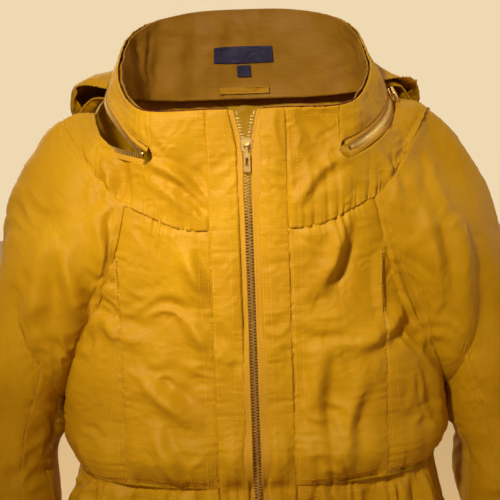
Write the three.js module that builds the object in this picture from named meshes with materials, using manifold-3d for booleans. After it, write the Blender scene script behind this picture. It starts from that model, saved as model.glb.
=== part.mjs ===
// Hooded cotton anorak on its hanging line: funnel collar with a zip-away hood, round yoke, raglan
// sleeves and an elastic waist. Millimetres, +Z up, the front faces -Y, the wearer's left is +X.
// The origin is the hanging point: midway between the neck-shoulder points, level with the top
// edge of the collar front.
import * as THREE from 'three';
import { mergeVertices } from 'three/addons/utils/BufferGeometryUtils.js';
import Module from 'manifold-3d';

const wasm = await Module();
wasm.setup();

// ---- driving dimensions -------------------------------------------------------------------------
const clothThickness = 1.6; // two layers and a seam allowance, pressed
const facingThickness = 1.2;
const seamGap = 0.8; // clear line between two panels that are sewn edge to edge
const layerGap = 0.5; // clear space between cloth layers that lie on each other

const frontDepthTop = 100; // centre front line, at the collar edge
const frontDepthHem = 128; // centre front line, at the hem
const coatLength = 630; // collar front edge to hem
const waistHeight = 360; // collar front edge down to the waist seam
const armpitDrop = 295;
const sectionPower = 2.6; // superellipse power of the body's plan section

const placketHalfWidth = 37.5;
const princessX = 127;
const frontYokeDrop = 112;
const frontYokeRise = 26; // how much the yoke seam climbs from the placket to the raglan seam
const backYokeDrop = 72;
const raglanStartX = 120;
const raglanStartDrop = frontYokeDrop - frontYokeRise;

const collarEndX = 88; // where the collar zip ends, each side
const collarEndDrop = 43;
const bandLean = THREE.MathUtils.degToRad(25); // how far the collar leans in from the zip
const backLeanUpper = THREE.MathUtils.degToRad(20); // the two zip edges' lean behind the neck
const backLeanLower = THREE.MathUtils.degToRad(-5);

const shoulderPivot = new THREE.Vector3(249, 0, -118);
const armpitX = 195;
const sleeveSeatGap = 1.5;
const cuffDrop = 612;
const cuffHeight = 26;
const sleeveOuterAngle = 115; // the outer sleeve panel reaches this far each way, in degrees
const sleeveLiftGap = 0.8;
const headGap = 1.5; // raglan seam to the sleeve head, on the slant

const casingHeight = 20;
const elasticHeight = 14;
const elasticThickness = 1;
const waistRow = 12; // the row of facets next to the waist seam
const elasticGap = 0.9;
const facingGap = 1.4;

const chainHalfWidth = 3.1; // one row of teeth, from the meeting line
const chainThickness = 2.4;
const tapeThickness = 0.8;
const tapeDepth = clothThickness + 0.4; // tape lies behind the cloth edge
const tapeOuter = 14; // tape's far edge, from the meeting line
const laneHalfWidth = 9; // bare tape and teeth between the two cloth edges
const meetGap = 0.15; // half of the clear line between the two tooth rows
const fitGap = 0.3;
const tapeGap = 0.5; // tooth row to the bare edge of its tape

const sliderDrop = 33; // slider's middle, down the zip line from the collar edge
const vOpening = 7.5; // half of the open V at the collar edge
const vDepth = 38;
const sliderWidth = 11;
const sliderLength = 14;
const plateThickness = 1.5;
const postWidth = 1.6;
const postLength = 3;
const postClearance = 1.8; // each tooth row stands this far aside at the slider's post
const pinRadius = 0.8;
const pinHeight = 3;
const earThickness = 1.2;
const pullWidth = 6.4;
const pullThickness = 1.4;
const pullLength = 27;
const eyeRadius = 2.1;
const eyeHole = 1.2;
const eyeWidth = 3.6;
const zipTopStop = 3; // top stop's length
const zipBottomMargin = 12;
const boxHeight = 9;
const collarTapeOuter = 9.0;
const collarTapeSink = 0.75; // the collar tapes lie this much deeper than the front tapes

const collarRowSpread = 10; // half of the open mouth behind the neck
const collarPullLength = 20;

const hoodReach = 48;
const hoodTuck = 1.5; // how far the hood's cloth reaches in between the two tooth rows
const hoodThroatGap = 0.55;
const hoodDrop = 250;
const hoodHalfWidth = 178;
const hoodThick = 22; // half the thickness of the folded cloth
const hoodPanelShare = 0.36; // the centre panel's share of the hood's half width
const hoodEdge = 14; // height of the casing along the hood's free edge

const pocketBagWidth = 120;
const pocketBagHeight = 150;
const pocketX = 95;
const pocketDrop = 410;
const pocketGap = 1.3;
const weltWidth = 16;
const labelWidth = 72;
const labelHeight = 18;
const sizeLabelWidth = 16;
const sizeLabelHeight = 12;
const loopWidth = 60;
const loopHeight = 7;
const trimThickness = 0.6;

// ---- colours ------------------------------------------------------------------------------------
function finish(color, roughness, metalness) {
  return new THREE.MeshStandardMaterial({ color, roughness, metalness });
}
const shellCloth = () => finish(0xc38a12, 0.85, 0);
const facingCloth = () => finish(0xa87a22, 0.85, 0);
const tapeCloth = () => finish(0xb98a25, 0.8, 0);
const zipMetal = () => finish(0xc9a24a, 0.35, 1);
const elasticCloth = () => finish(0xd8cfb8, 0.9, 0);
const labelCloth = () => finish(0x34324a, 0.8, 0);

// ---- small tools --------------------------------------------------------------------------------
const lerp = THREE.MathUtils.lerp;
const clamp = THREE.MathUtils.clamp;

function ease(edge0, edge1, x) {
  const t = clamp((x - edge0) / (edge1 - edge0), 0, 1);
  return t * t * (3 - 2 * t);
}

// Smooth value through [place, value] keys whose places rise; flat beyond the two ends.
function through(keys, place) {
  const last = keys.length - 1;
  if (place <= keys[0][0]) return keys[0][1];
  if (place >= keys[last][0]) return keys[last][1];
  let i = 0;
  while (place > keys[i + 1][0]) i += 1;
  const slope = (a, b) => (keys[b][1] - keys[a][1]) / (keys[b][0] - keys[a][0]);
  const m0 = i > 0 ? slope(i - 1, i + 1) : slope(0, 1);
  const m1 = i + 2 <= last ? slope(i, i + 2) : slope(i, i + 1);
  const span = keys[i + 1][0] - keys[i][0];
  const t = (place - keys[i][0]) / span;
  const t2 = t * t;
  const t3 = t2 * t;
  return (2 * t3 - 3 * t2 + 1) * keys[i][1] + (t3 - 2 * t2 + t) * span * m0
    + (3 * t2 - 2 * t3) * keys[i + 1][1] + (t3 - t2) * span * m1;
}

function mirrored(point, side) {
  return new THREE.Vector3(point.x * side, point.y, point.z);
}

const coat = new THREE.Group();

function add(name, geometry, material, parent = coat) {
  const mesh = new THREE.Mesh(geometry, material);
  mesh.name = name;
  parent.add(mesh);
  return mesh;
}

// Signed volume of an indexed geometry: negative when its faces point in.
function signedVolume(positions, index) {
  let sum = 0;
  const [a, b, c] = [0, 0, 0].map(() => new THREE.Vector3());
  for (let i = 0; i < index.length; i += 3) {
    a.fromArray(positions, index[i] * 3);
    b.fromArray(positions, index[i + 1] * 3);
    c.fromArray(positions, index[i + 2] * 3);
    sum += a.dot(b.cross(c));
  }
  return sum;
}

// A closed sheet of cloth: the grid point(i, j), laid `depth` under its own surface and `thickness`
// thick, towards the side where `core` lies. Cells for which keep(i, j) is false are left out, and
// `wrap` closes the grid along i.
const coatCore = new THREE.Vector3(0, 0, -150);
function sheet(point, ni, nj, { thickness = clothThickness, depth = 0, core = coatCore, keep, wrap } = {}) {
  const columns = wrap ? ni : ni + 1;
  const at = (i, j) => (i % columns) * (nj + 1) + j;
  const kept = (i, j) => i >= 0 && j >= 0 && i < ni && j < nj && (!keep || keep(i, j));
  const base = [];
  for (let i = 0; i < columns; i += 1) {
    for (let j = 0; j <= nj; j += 1) base.push(point(i, j));
  }
  const normals = base.map(() => new THREE.Vector3());
  const used = new Set();
  for (let i = 0; i < ni; i += 1) {
    for (let j = 0; j < nj; j += 1) {
      if (!kept(i, j)) continue;
      const corners = [at(i, j), at(i + 1, j), at(i + 1, j + 1), at(i, j + 1)];
      const across = base[corners[2]].clone().sub(base[corners[0]]);
      const normal = across.cross(base[corners[3]].clone().sub(base[corners[1]]));
      corners.forEach((c) => { normals[c].add(normal); used.add(c); });
    }
  }
  const order = [...used];
  const slot = new Map(order.map((c, n) => [c, n]));
  const facing = order.reduce((sum, c) => sum + normals[c].dot(base[c].clone().sub(core)), 0);
  const inward = facing > 0 ? -1 : 1;
  const positions = [];
  for (const shift of [depth, depth + thickness]) {
    for (const c of order) {
      const p = base[c].clone().addScaledVector(normals[c].clone().normalize(), shift * inward);
      positions.push(p.x, p.y, p.z);
    }
  }
  const half = order.length;
  const index = [];
  const quad = (a, b, c, d) => index.push(a, b, c, a, c, d);
  for (let i = 0; i < ni; i += 1) {
    for (let j = 0; j < nj; j += 1) {
      if (!kept(i, j)) continue;
      const ids = [at(i, j), at(i + 1, j), at(i + 1, j + 1), at(i, j + 1)];
      const [a, b, c, d] = ids.map((id) => slot.get(id));
      quad(a, b, c, d);
      quad(a + half, d + half, c + half, b + half);
      const previous = wrap ? (i + ni - 1) % ni : i - 1;
      const next = wrap ? (i + 1) % ni : i + 1;
      if (!kept(i, j - 1)) quad(a, a + half, b + half, b);
      if (!kept(next, j)) quad(b, b + half, c + half, c);
      if (!kept(i, j + 1)) quad(c, c + half, d + half, d);
      if (!kept(previous, j)) quad(d, d + half, a + half, a);
    }
  }
  if (signedVolume(positions, index) < 0) {
    for (let n = 0; n < index.length; n += 3) [index[n + 1], index[n + 2]] = [index[n + 2], index[n + 1]];
  }
  const geometry = new THREE.BufferGeometry();
  geometry.setAttribute('position', new THREE.Float32BufferAttribute(positions, 3));
  geometry.setIndex(index);
  geometry.computeVertexNormals();
  return geometry;
}

// ---- body section -------------------------------------------------------------------------------
const halfWidthKeys = [
  [-coatLength, 215], [-waistHeight - 60, 198], [-waistHeight, 188], [-armpitDrop, armpitX],
  [-200, 185], [-100, 170], [0, 150],
];
const backDepthKeys = [
  [-coatLength, 125], [-waistHeight - 60, 110], [-waistHeight, 102], [-armpitDrop, 112],
  [-200, 116], [-100, 112], [0, 112],
];
const raglanKeys = [
  [-armpitDrop, armpitX], [-240, 178], [-190, 155], [-140, 134], [-raglanStartDrop, raglanStartX],
];
const halfWidth = (z) => through(halfWidthKeys, z);
const frontDepth = (z) => lerp(frontDepthTop, frontDepthHem, -z / coatLength);
const backDepth = (z) => through(backDepthKeys, z);
const raglanX = (z) => (z <= -armpitDrop ? halfWidth(z) : Math.min(through(raglanKeys, z), halfWidth(z)));

// Angle round the body's section, from the centre line to the side, at which the section reaches x.
const angleOf = (x, z) => Math.asin(Math.min(1, Math.max(0, x) / halfWidth(z)) ** (sectionPower / 2));

function bodyPoint(angle, z, facing) {
  const depth = facing < 0 ? frontDepth(z) : backDepth(z);
  const x = halfWidth(z) * Math.max(0, Math.sin(angle)) ** (2 / sectionPower);
  const y = facing * depth * Math.max(0, Math.cos(angle)) ** (2 / sectionPower);
  return new THREE.Vector3(x, y, z);
}
const bodyAt = (x, z, facing) => bodyPoint(angleOf(x, z), z, facing);

// Ring place w: 0 placket seam, 1 front princess seam, 2 side (or raglan) seam, 3 back princess
// seam, 4 centre back.
const ringSteps = 5; // facets in one unit of w
function ringPoint(w, z) {
  const limit = raglanX(z);
  const princess = Math.min(princessX, limit - 4);
  const bounds = [placketHalfWidth, princess, limit, princess, 0];
  const i = clamp(Math.floor(w), 0, 3);
  const angle = lerp(angleOf(bounds[i], z), angleOf(bounds[i + 1], z), w - i);
  return bodyPoint(angle, z, w <= 2 ? -1 : 1);
}

const frontSeamZ = (x) => -frontYokeDrop + frontYokeRise * ease(50, raglanStartX + 14, x);
const half = seamGap / 2;

// Height of row j of a panel, with one row close to the waist seam, where the section is smallest.
function rowHeight(j, rows, top, bottom) {
  if (top < -waistHeight) return j === 0 ? top : lerp(top - waistRow, bottom, (j - 1) / (rows - 1));
  return j === rows ? bottom : lerp(top, bottom + waistRow, j / (rows - 1));
}

// A body panel between two ring places, from top(w) down to the height `bottom`.
function panel(side, w0, w1, top, bottom, rows) {
  const inset = 0.012;
  const columns = Math.max(2, Math.round((w1 - w0) * ringSteps));
  const point = (i, j) => {
    const w = lerp(w0 + inset, w1 - inset, i / columns);
    return mirrored(ringPoint(w, rowHeight(j, rows, top(w), bottom)), side);
  };
  return sheet(point, columns, rows);
}

for (const [name, side] of [['left', 1], ['right', -1]]) {
  // Placket: one strip from the collar edge to the hem, its inner edge opening with the zip's V.
  const placketRows = [0, -12, -26, -40, -112, -210, -295, -360, -450, -540, -coatLength];
  const placketPoint = (i, j) => {
    const z = placketRows[j];
    const inner = laneHalfWidth + vGap(-z);
    return mirrored(bodyAt(lerp(inner, placketHalfWidth - half, i / 2), z, -1), side);
  };
  add(`placket_${name}`, sheet(placketPoint, 2, placketRows.length - 1), shellCloth());

  const topZ = (w) => frontSeamZ(ringPoint(w, -100).x) - half;
  const waist = -waistHeight + half;
  add(`front_panel_${name}`, panel(side, 0, 1, topZ, waist, 7), shellCloth());
  add(`front_side_panel_${name}`, panel(side, 1, 2, () => -138, waist, 7), shellCloth());
  add(`back_side_panel_${name}`, panel(side, 2, 3, () => -138, waist, 7), shellCloth());
  const skirtTop = () => -waistHeight - half;
  add(`skirt_front_${name}`, panel(side, 0, 2, skirtTop, -coatLength, 4), shellCloth());
}

// How far each half of the front zip stands from the meeting line, `down` from the collar edge.
function vGap(down) {
  return vOpening * (1 - clamp(down / vDepth, 0, 1)) ** 1.3;
}

// Full back panels run from one side to the other through the centre back.
function backPanel(wSide, top, bottom, rows) {
  const steps = Math.round((4 - wSide) * ringSteps);
  const point = (i, j) => {
    const side = i <= steps ? 1 : -1;
    const w = lerp(wSide + 0.012, 4, (i <= steps ? i : 2 * steps - i) / steps);
    return mirrored(ringPoint(w, rowHeight(j, rows, top, bottom)), side);
  };
  return sheet(point, 2 * steps, rows);
}
add('back_panel', backPanel(3, -backYokeDrop - half, -waistHeight + half, 8), shellCloth());
add('skirt_back', backPanel(2, -waistHeight - half, -coatLength, 4), shellCloth());

// Waist: an elastic in a casing strip, round the inside from placket to placket.
function waistBand(height, depth, thickness) {
  const steps = 4 * ringSteps;
  const point = (i, j) => {
    const side = i <= steps ? 1 : -1;
    const w = lerp(0.03, 4, (i <= steps ? i : 2 * steps - i) / steps);
    return mirrored(ringPoint(w, -waistHeight + height * (0.5 - j)), side);
  };
  return sheet(point, 2 * steps, 1, { depth, thickness });
}
const elasticDepth = clothThickness + elasticGap;
const casingDepth = elasticDepth + elasticThickness + layerGap;
add('waist_elastic', waistBand(elasticHeight, elasticDepth, elasticThickness), elasticCloth());
add('waist_casing', waistBand(casingHeight, casingDepth, facingThickness), facingCloth());

// ---- neck curves, by station: 0 centre front, 1 placket seam, 2 collar zip's end, 3 raglan seam,
// 5 shoulder, 7 back raglan seam, 9 centre back. 9..18 mirror them back to the centre front. -------
const arcStart = new THREE.Vector3(collarEndX, -96, -collarEndDrop);
const arcShoulder = new THREE.Vector3(147, 4, 4);
const arcBack = new THREE.Vector3(140, 45, 20);

function circleThrough(p, q, r) {
  const a = q.clone().sub(p);
  const b = r.clone().sub(p);
  const axis = a.clone().cross(b).normalize();
  const cross = a.clone().cross(b);
  const toCentre = cross.clone().cross(a).multiplyScalar(b.lengthSq())
    .add(b.clone().cross(cross).multiplyScalar(a.lengthSq()))
    .divideScalar(2 * cross.lengthSq());
  const centre = p.clone().add(toCentre);
  return { centre, axis, radius: toCentre.length() };
}
const arc = circleThrough(arcStart, arcShoulder, arcBack);
const arcFrom = arcStart.clone().sub(arc.centre);
const arcSide = arc.axis.clone().cross(arcFrom);
const arcPoint = (angle) => arc.centre.clone()
  .addScaledVector(arcFrom, Math.cos(angle)).addScaledVector(arcSide, Math.sin(angle));
const arcAngleOf = (p) => {
  const d = p.clone().sub(arc.centre);
  return Math.atan2(d.dot(arcSide), d.dot(arcFrom));
};
const shoulderAngle = arcAngleOf(arcShoulder);
const backAngle = arcAngleOf(arcBack);
const backRun = new THREE.CatmullRomCurve3([
  arcPoint(backAngle - 0.3), arcBack, new THREE.Vector3(118, 84, 34), new THREE.Vector3(62, 113, 44),
  new THREE.Vector3(0, 122, 47), new THREE.Vector3(-62, 113, 44),
], false, 'catmullrom', 0.5);

function neckBase(k) {
  if (k <= 2) return new THREE.Vector3(lerp(0, collarEndX, k / 2), lerp(-102, arcStart.y, (k / 2) ** 2), arcStart.z);
  if (k <= 5) return arcPoint(shoulderAngle * (k - 2) / 3);
  if (k <= 6) return arcPoint(lerp(shoulderAngle, backAngle, k - 5));
  return backRun.getPoint((k - 5) / 5);
}

function closedCurve(points) {
  const back = points.slice(1, -1).reverse().map((p) => mirrored(p, -1));
  return new THREE.CatmullRomCurve3([...points, ...back], true, 'catmullrom', 0.5);
}
const v3 = (x, y, z) => new THREE.Vector3(x, y, z);
const rimCurve = closedCurve([
  v3(0, -frontDepthTop, 0), v3(37, -100, 0), v3(collarEndX, -91, 0), v3(110, -67, 8), v3(122, -34, 25),
  v3(125, 2, 47), v3(118, 44, 70), v3(98, 73, 86), v3(54, 96, 96), v3(0, 100, 98),
]);
const yokeCurve = closedCurve([
  bodyAt(0, -frontYokeDrop, -1), bodyAt(placketHalfWidth, frontSeamZ(placketHalfWidth), -1),
  bodyAt(collarEndX, frontSeamZ(collarEndX), -1), bodyAt(raglanStartX, -raglanStartDrop, -1),
  v3(155, -50, -50), v3(182, 0, -10), v3(155, 52, -46), bodyAt(raglanStartX, -backYokeDrop, 1),
  bodyAt(62, -backYokeDrop, 1), bodyAt(0, -backYokeDrop, 1),
]);
const stations = 18;
const onRim = (k) => rimCurve.getPoint(k / stations);
const onYoke = (k) => {
  if (k <= 3) {
    const x = lerp(k < 1 ? 0 : k < 2 ? placketHalfWidth : collarEndX,
      k < 1 ? placketHalfWidth : k < 2 ? collarEndX : raglanStartX, k - Math.min(2, Math.floor(k)));
    return bodyAt(x, frontSeamZ(x), -1);
  }
  if (k >= 7) return bodyAt(lerp(raglanStartX, 0, (k - 7) / 2), -backYokeDrop, 1);
  return yokeCurve.getPoint(k / stations);
};

// Frame of the zip band at a station: `along` the neck, `out` of the cloth and `up` the band. The
// lean is one value as far as the slider runs, and one for each edge behind the neck.
function bandFrame(k, edge = 1) {
  const lean = lerp(bandLean, edge > 0 ? backLeanUpper : backLeanLower, ease(5.6, 7, k));
  const step = 0.02;
  const along = neckBase(Math.min(9.3, k + step)).sub(neckBase(Math.max(2, k - step))).normalize();
  const axis = arc.axis.clone().lerp(v3(0, 0, 1), ease(5.6, 7, k));
  const level = along.clone().cross(axis).normalize();
  const rise = level.clone().cross(along).normalize();
  const up = rise.clone().multiplyScalar(Math.cos(lean)).addScaledVector(level, -Math.sin(lean));
  const out = level.clone().multiplyScalar(Math.cos(lean)).addScaledVector(rise, Math.sin(lean));
  return { along, up, out };
}
function bandPoint(q, offset, depth = 0) {
  const k = q <= 9 ? q : stations - q;
  const { up, out } = bandFrame(Math.max(2, k), Math.sign(offset));
  const p = neckBase(k).addScaledVector(up, offset).addScaledVector(out, -depth);
  return mirrored(p, q <= 9 ? 1 : -1);
}
const collarSliderStation = 5;
function mouth(q) {
  const parting = postClearance * clamp((q - collarSliderStation) / 0.1, 0, 1);
  return (parting + collarRowSpread * ease(collarSliderStation + 0.2, 7.2, q)) * (1 - ease(14.2, 16, q));
}
const folded = (q) => (q <= 9 ? q : stations - q);

// Yoke: from its seam up to the zip band, with the collar front grown on up to the rim.
const laneEdge = laneHalfWidth - 0.5;
const yokeSeamLift = 0.8;
for (const [name, side] of [['left', 1], ['right', -1]]) {
  const kSteps = [1.012, 1.25, 1.5, 1.75, 1.985, 2.25, 2.5, 2.75, 3, 3.35, 3.7, 4, 4.35, 4.7, 4.98];
  const rows = 3;
  const collarRows = 2;
  const wall = 4; // the column at which the grown-on collar ends
  const point = (i, j) => {
    const k = kSteps[i];
    const q = side > 0 ? k : stations - k;
    const low = onYoke(k).add(v3(0, 0, yokeSeamLift));
    const high = k < 2 ? neckBase(k) : mirrored(bandPoint(q, -laneEdge * ease(1.9, 2.15, k) - mouth(q)), side);
    if (j <= rows) {
      const t = j / rows;
      const p = low.clone().lerp(high, t);
      const bulge = 5 * Math.sin(Math.PI * t) * ease(2.6, 4, k);
      return mirrored(p.add(v3(bulge * 0.7, 0, bulge * 0.7)), side);
    }
    const rim = onRim(k);
    return mirrored(high.clone().lerp(rim, (j - rows) / collarRows), side);
  };
  const keep = (i, j) => j < rows || i < wall;
  add(`yoke_front_${name}`, sheet(point, kSteps.length - 1, rows + collarRows, { keep }), shellCloth());
}
{
  const steps = 20;
  const rows = 3;
  const point = (i, j) => {
    const q = lerp(5.02, 12.98, i / steps);
    const k = folded(q);
    const side = q <= 9 ? 1 : -1;
    const low = mirrored(onYoke(k).add(v3(0, 0, yokeSeamLift)), side);
    const high = bandPoint(q, -laneEdge - mouth(q));
    const t = j / rows;
    const bulge = 5 * Math.sin(Math.PI * t) * (1 - ease(5, 7, k));
    return low.lerp(high, t).add(v3(bulge * 0.7 * side, 0, bulge * 0.7));
  };
  add('yoke_back', sheet(point, steps, rows), shellCloth());
}

// Collar: one strip from the zip band up to the rim, round the back from end to end.
const collarSteps = 36;
const collarFrom = 2.06;
function collarPoint(q, t, lowered = 0) {
  const k = folded(q);
  const side = q <= 9 ? 1 : -1;
  const low = bandPoint(q, laneEdge * ease(1.9, 2.15, k) + mouth(q) + lowered);
  return low.lerp(mirrored(onRim(k), side), t);
}
add('collar_back', sheet((i, j) => collarPoint(lerp(collarFrom, stations - collarFrom, i / collarSteps), j / 3), collarSteps, 3), shellCloth());

// Facing: the collar's inner layer, from the rim down to the neck seam at the hanging line.
function facingPoint(q, t) {
  const k = folded(q);
  const side = q <= 9 ? 1 : -1;
  const rim = onRim(k);
  const base = neckBase(k);
  const inward = lerp(0.985, 0.88, ease(1.2, 3.5, k));
  const foot = v3(base.x * inward, base.y * inward, lerp(base.z, 2, ease(2.5, 8, k)));
  return mirrored(foot.lerp(rim, t), side);
}
const facingDepth = clothThickness + facingGap;
const facingEnds = [0.78, stations - 0.78];
const facingAt = (i, j) => facingPoint(lerp(...facingEnds, i / collarSteps), j / 3);
const facing = sheet(facingAt, collarSteps, 3, { depth: facingDepth, thickness: facingThickness });
add('collar_facing', facing, facingCloth());

// Trim sewn on the facing at the centre back.
function neckTrim(width, height, t, extraDepth = 0) {
  const reach = width / 2 / 60;
  const rise = height / 96 / 2;
  const point = (i, j) => facingPoint(lerp(9 - reach, 9 + reach, i / 6), t + rise * (2 * j - 1));
  const depth = facingDepth + facingThickness + layerGap + extraDepth;
  return sheet(point, 6, 1, { depth, thickness: trimThickness });
}
add('neck_label', neckTrim(labelWidth, labelHeight, 0.5, 0.3), labelCloth());
add('size_label', neckTrim(sizeLabelWidth, sizeLabelHeight, 0.32), labelCloth());
add('hanger_loop', neckTrim(loopWidth, loopHeight, 0.1), tapeCloth());

// ---- sleeves ------------------------------------------------------------------------------------
// A sleeve section: its middle, the half vector to its outer edge and its half depth.
const topHalf = shoulderPivot.clone().sub(v3(armpitX, 0, -armpitDrop)).multiplyScalar(0.5);
const topMiddle = shoulderPivot.clone().add(v3(armpitX, 0, -armpitDrop)).multiplyScalar(0.5);
const sleeveSections = [
  { middle: topMiddle, reach: topHalf, depth: 68 },
  { middle: v3(256, 0, -330), reach: v3(53, 0, 11), depth: 63 },
  { middle: v3(276, 0, -450), reach: v3(54, 0, 6), depth: 56 },
  { middle: v3(300, 0, -cuffDrop), reach: v3(43, 0, 3), depth: 40 },
];
const middleRun = new THREE.CatmullRomCurve3(sleeveSections.map((s) => s.middle), false, 'catmullrom', 0.5);
const reachRun = new THREE.CatmullRomCurve3(sleeveSections.map((s) => s.reach), false, 'catmullrom', 0.5);
const sleeveDepth = (s) => through(sleeveSections.map((section, i) => [i / 3, section.depth]), s);
const cuffShare = 1 - cuffHeight / 162 / 3; // where the cuff starts, along the sleeve

// Point on the sleeve: s from the shoulder cut to the cuff edge, angle from the outer edge, front < 0.
function sleevePoint(s, angle) {
  const middle = middleRun.getPoint(s);
  return middle.addScaledVector(reachRun.getPoint(s), Math.cos(angle))
    .add(v3(0, Math.sin(angle) * sleeveDepth(s), 0));
}
const outOfCut = v3(topHalf.z, 0, -topHalf.x).normalize();
const turn = THREE.MathUtils.degToRad;

for (const [name, side] of [['left', 1], ['right', -1]]) {
  const core = v3(side * 250, 0, -300);
  const offCut = outOfCut.clone().multiplyScalar(sleeveLiftGap);
  const slide = (s) => offCut.clone().multiplyScalar(1 - s).add(v3(sleeveSeatGap * (1 - s), 0, 0));
  const strip = (from, to, s0, s1, columns, rows) => sheet((i, j) => {
    const s = lerp(s0, s1, j / rows);
    return mirrored(sleevePoint(s, turn(lerp(from, to, i / columns))).add(slide(s)), side);
  }, columns, rows, { core });
  const seam = 0.4;
  const [from, to] = [-sleeveOuterAngle, sleeveOuterAngle];
  add(`sleeve_outer_${name}`, strip(from + seam, to - seam, 0, cuffShare - 0.001, 14, 9), shellCloth());
  add(`sleeve_inner_${name}`, strip(to + seam, 360 - sleeveOuterAngle - seam, 0, cuffShare - 0.001, 8, 9), shellCloth());
  const cuff = (i, j) => mirrored(sleevePoint(lerp(cuffShare + 0.001, 1, j), turn(i * 18)), side);
  add(`cuff_${name}`, sheet(cuff, 20, 1, { core, wrap: true }), shellCloth());

  // Raglan head: from the raglan and yoke seams out to the shoulder cut, front to back.
  const raglanAt = (t, facing) => {
    const start = facing < 0 ? raglanStartDrop : backYokeDrop;
    const z = lerp(-armpitDrop, -start, t);
    return bodyAt(raglanX(z), z, facing);
  };
  const inner = (u) => {
    if (u < 0.35) return raglanAt(u / 0.35, -1);
    if (u > 0.65) return raglanAt((1 - u) / 0.35, 1);
    return onYoke(lerp(3, 7, (u - 0.35) / 0.3));
  };
  const columns = 26;
  const rows = 3;
  const head = (i, j) => {
    const u = lerp(0.035, 0.965, i / columns);
    const v = j / rows;
    const a = inner(u);
    const b = sleevePoint(0, turn(lerp(-180, 180, u)));
    const outward = b.clone().sub(v3(165, 0, -215)).normalize();
    const p = a.clone().lerp(b, lerp(headGap / Math.max(6, a.distanceTo(b)), 1, v));
    return mirrored(p.addScaledVector(outward, 14 * 4 * v * (1 - v) * Math.sin(Math.PI * u) ** 0.7), side);
  };
  add(`sleeve_head_${name}`, sheet(head, columns, rows, { core: v3(side * 165, 0, -215) }), shellCloth());
}

// ---- metal zip pieces ---------------------------------------------------------------------------
function toSolid(geometry) {
  const bare = geometry.clone();
  bare.deleteAttribute('normal');
  bare.deleteAttribute('uv');
  const merged = mergeVertices(bare, 1e-4);
  return new wasm.Manifold(new wasm.Mesh({
    numProp: 3,
    vertProperties: new Float32Array(merged.attributes.position.array),
    triVerts: new Uint32Array(merged.index.array),
  }));
}
function toGeometry(solid) {
  const mesh = solid.getMesh();
  const geometry = new THREE.BufferGeometry();
  geometry.setAttribute('position', new THREE.Float32BufferAttribute(mesh.vertProperties, 3));
  geometry.setIndex(new THREE.Uint32BufferAttribute(mesh.triVerts, 1));
  geometry.computeVertexNormals();
  return geometry;
}
const box = (w, d, h, x, y, z) => new THREE.BoxGeometry(w, d, h).translate(x, y, z);
const rod = (radius, length, x, y, z) => new THREE.CylinderGeometry(radius, radius, length, 12)
  .rotateZ(Math.PI / 2).translate(x, y, z);
const joined = (...shapes) => shapes.map(toSolid).reduce((a, b) => a.add(b));

// Local frame of a zip: x across, y into the coat, z up the zip, origin on the cloth face.
const chainMiddle = tapeDepth + tapeThickness / 2;
const chainFront = chainMiddle - chainThickness / 2;
const plateY = chainFront - fitGap - plateThickness / 2;
const pinY = plateY - plateThickness / 2 - pinHeight;

function sliderGeometry() {
  const back = chainMiddle + chainThickness / 2 + fitGap + plateThickness / 2;
  const post = box(postWidth, back - plateY, postLength, 0, (back + plateY) / 2, (sliderLength - postLength) / 2);
  const earHeight = plateY - pinY + pinRadius + 0.6;
  const ear = (x) => box(earThickness, earHeight, 3.2, x, plateY - earHeight / 2, 0);
  const earX = eyeWidth / 2 + fitGap + earThickness / 2;
  const plates = [plateY, back].map((y) => box(sliderWidth, plateThickness, sliderLength, 0, y, 0));
  const pin = rod(pinRadius, 2 * earX, 0, pinY, 0);
  return toGeometry(joined(...plates, post, ear(earX), ear(-earX), pin));
}
function pullGeometry(length) {
  const neck = box(eyeWidth, pullThickness, 7, 0, 0, -eyeHole - 4.2);
  const tab = box(pullWidth, pullThickness, length - 8, 0, 0, -8 - (length - 8) / 2);
  const solid = joined(rod(eyeRadius, eyeWidth, 0, 0, 0), neck, tab);
  return toGeometry(solid.subtract(toSolid(rod(eyeHole, eyeWidth + 2, 0, 0, 0))));
}

const intoCoat = v3(0, 1000, 0);

// A strip of the front zip: from x0 to x1 off the meeting line, following the V.
function zipStrip(x0, x1, depth, thickness, top, bottom, side) {
  const places = [0, 4, 8, 14, 20, 26, 32, vDepth, bottom].filter((d) => d > top && d < bottom);
  const rows = [top, ...places, bottom];
  const point = (i, j) => v3(side * (vGap(rows[j]) + lerp(x0, x1, i)), depth, -rows[j]);
  return sheet(point, 1, rows.length - 1, { thickness, core: intoCoat });
}

const zipLine = new THREE.Group();
zipLine.position.set(0, -frontDepthTop, 0);
zipLine.rotation.x = -Math.atan2(frontDepthHem - frontDepthTop, coatLength);
coat.add(zipLine);
const zipEnd = coatLength - zipBottomMargin;
for (const [name, side] of [['left', 1], ['right', -1]]) {
  const tapeStart = chainHalfWidth + tapeGap;
  const tape = zipStrip(tapeStart, tapeOuter, tapeDepth, tapeThickness, 1, zipEnd, side);
  add(`front_zip_tape_${name}`, tape, tapeCloth(), zipLine);
  const rowTop = zipTopStop + 3;
  const row = zipStrip(meetGap, chainHalfWidth, chainFront, chainThickness, rowTop, zipEnd - boxHeight - 1, side);
  add(`front_zip_teeth_${name}`, row, zipMetal(), zipLine);
  const stop = zipStrip(meetGap, chainHalfWidth, chainFront - 0.2, chainThickness + 0.4, 2, rowTop - fitGap, side);
  add(`front_zip_top_stop_${name}`, stop, zipMetal(), zipLine);
}
const endZ = -zipEnd + boxHeight / 2;
const fittingDepth = chainThickness + 0.8;
const fitting = (x0, x1) => box(x1 - x0, fittingDepth, boxHeight, (x0 + x1) / 2, chainMiddle, endZ);
add('front_zip_box', fitting(-chainHalfWidth, 0.4), zipMetal(), zipLine);
add('front_zip_pin', fitting(0.4 + fitGap, chainHalfWidth), zipMetal(), zipLine);
const frontSlider = add('front_zip_slider', sliderGeometry(), zipMetal(), zipLine);
frontSlider.position.z = -sliderDrop;
const frontPull = add('front_zip_pull', pullGeometry(pullLength), zipMetal(), zipLine);
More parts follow.
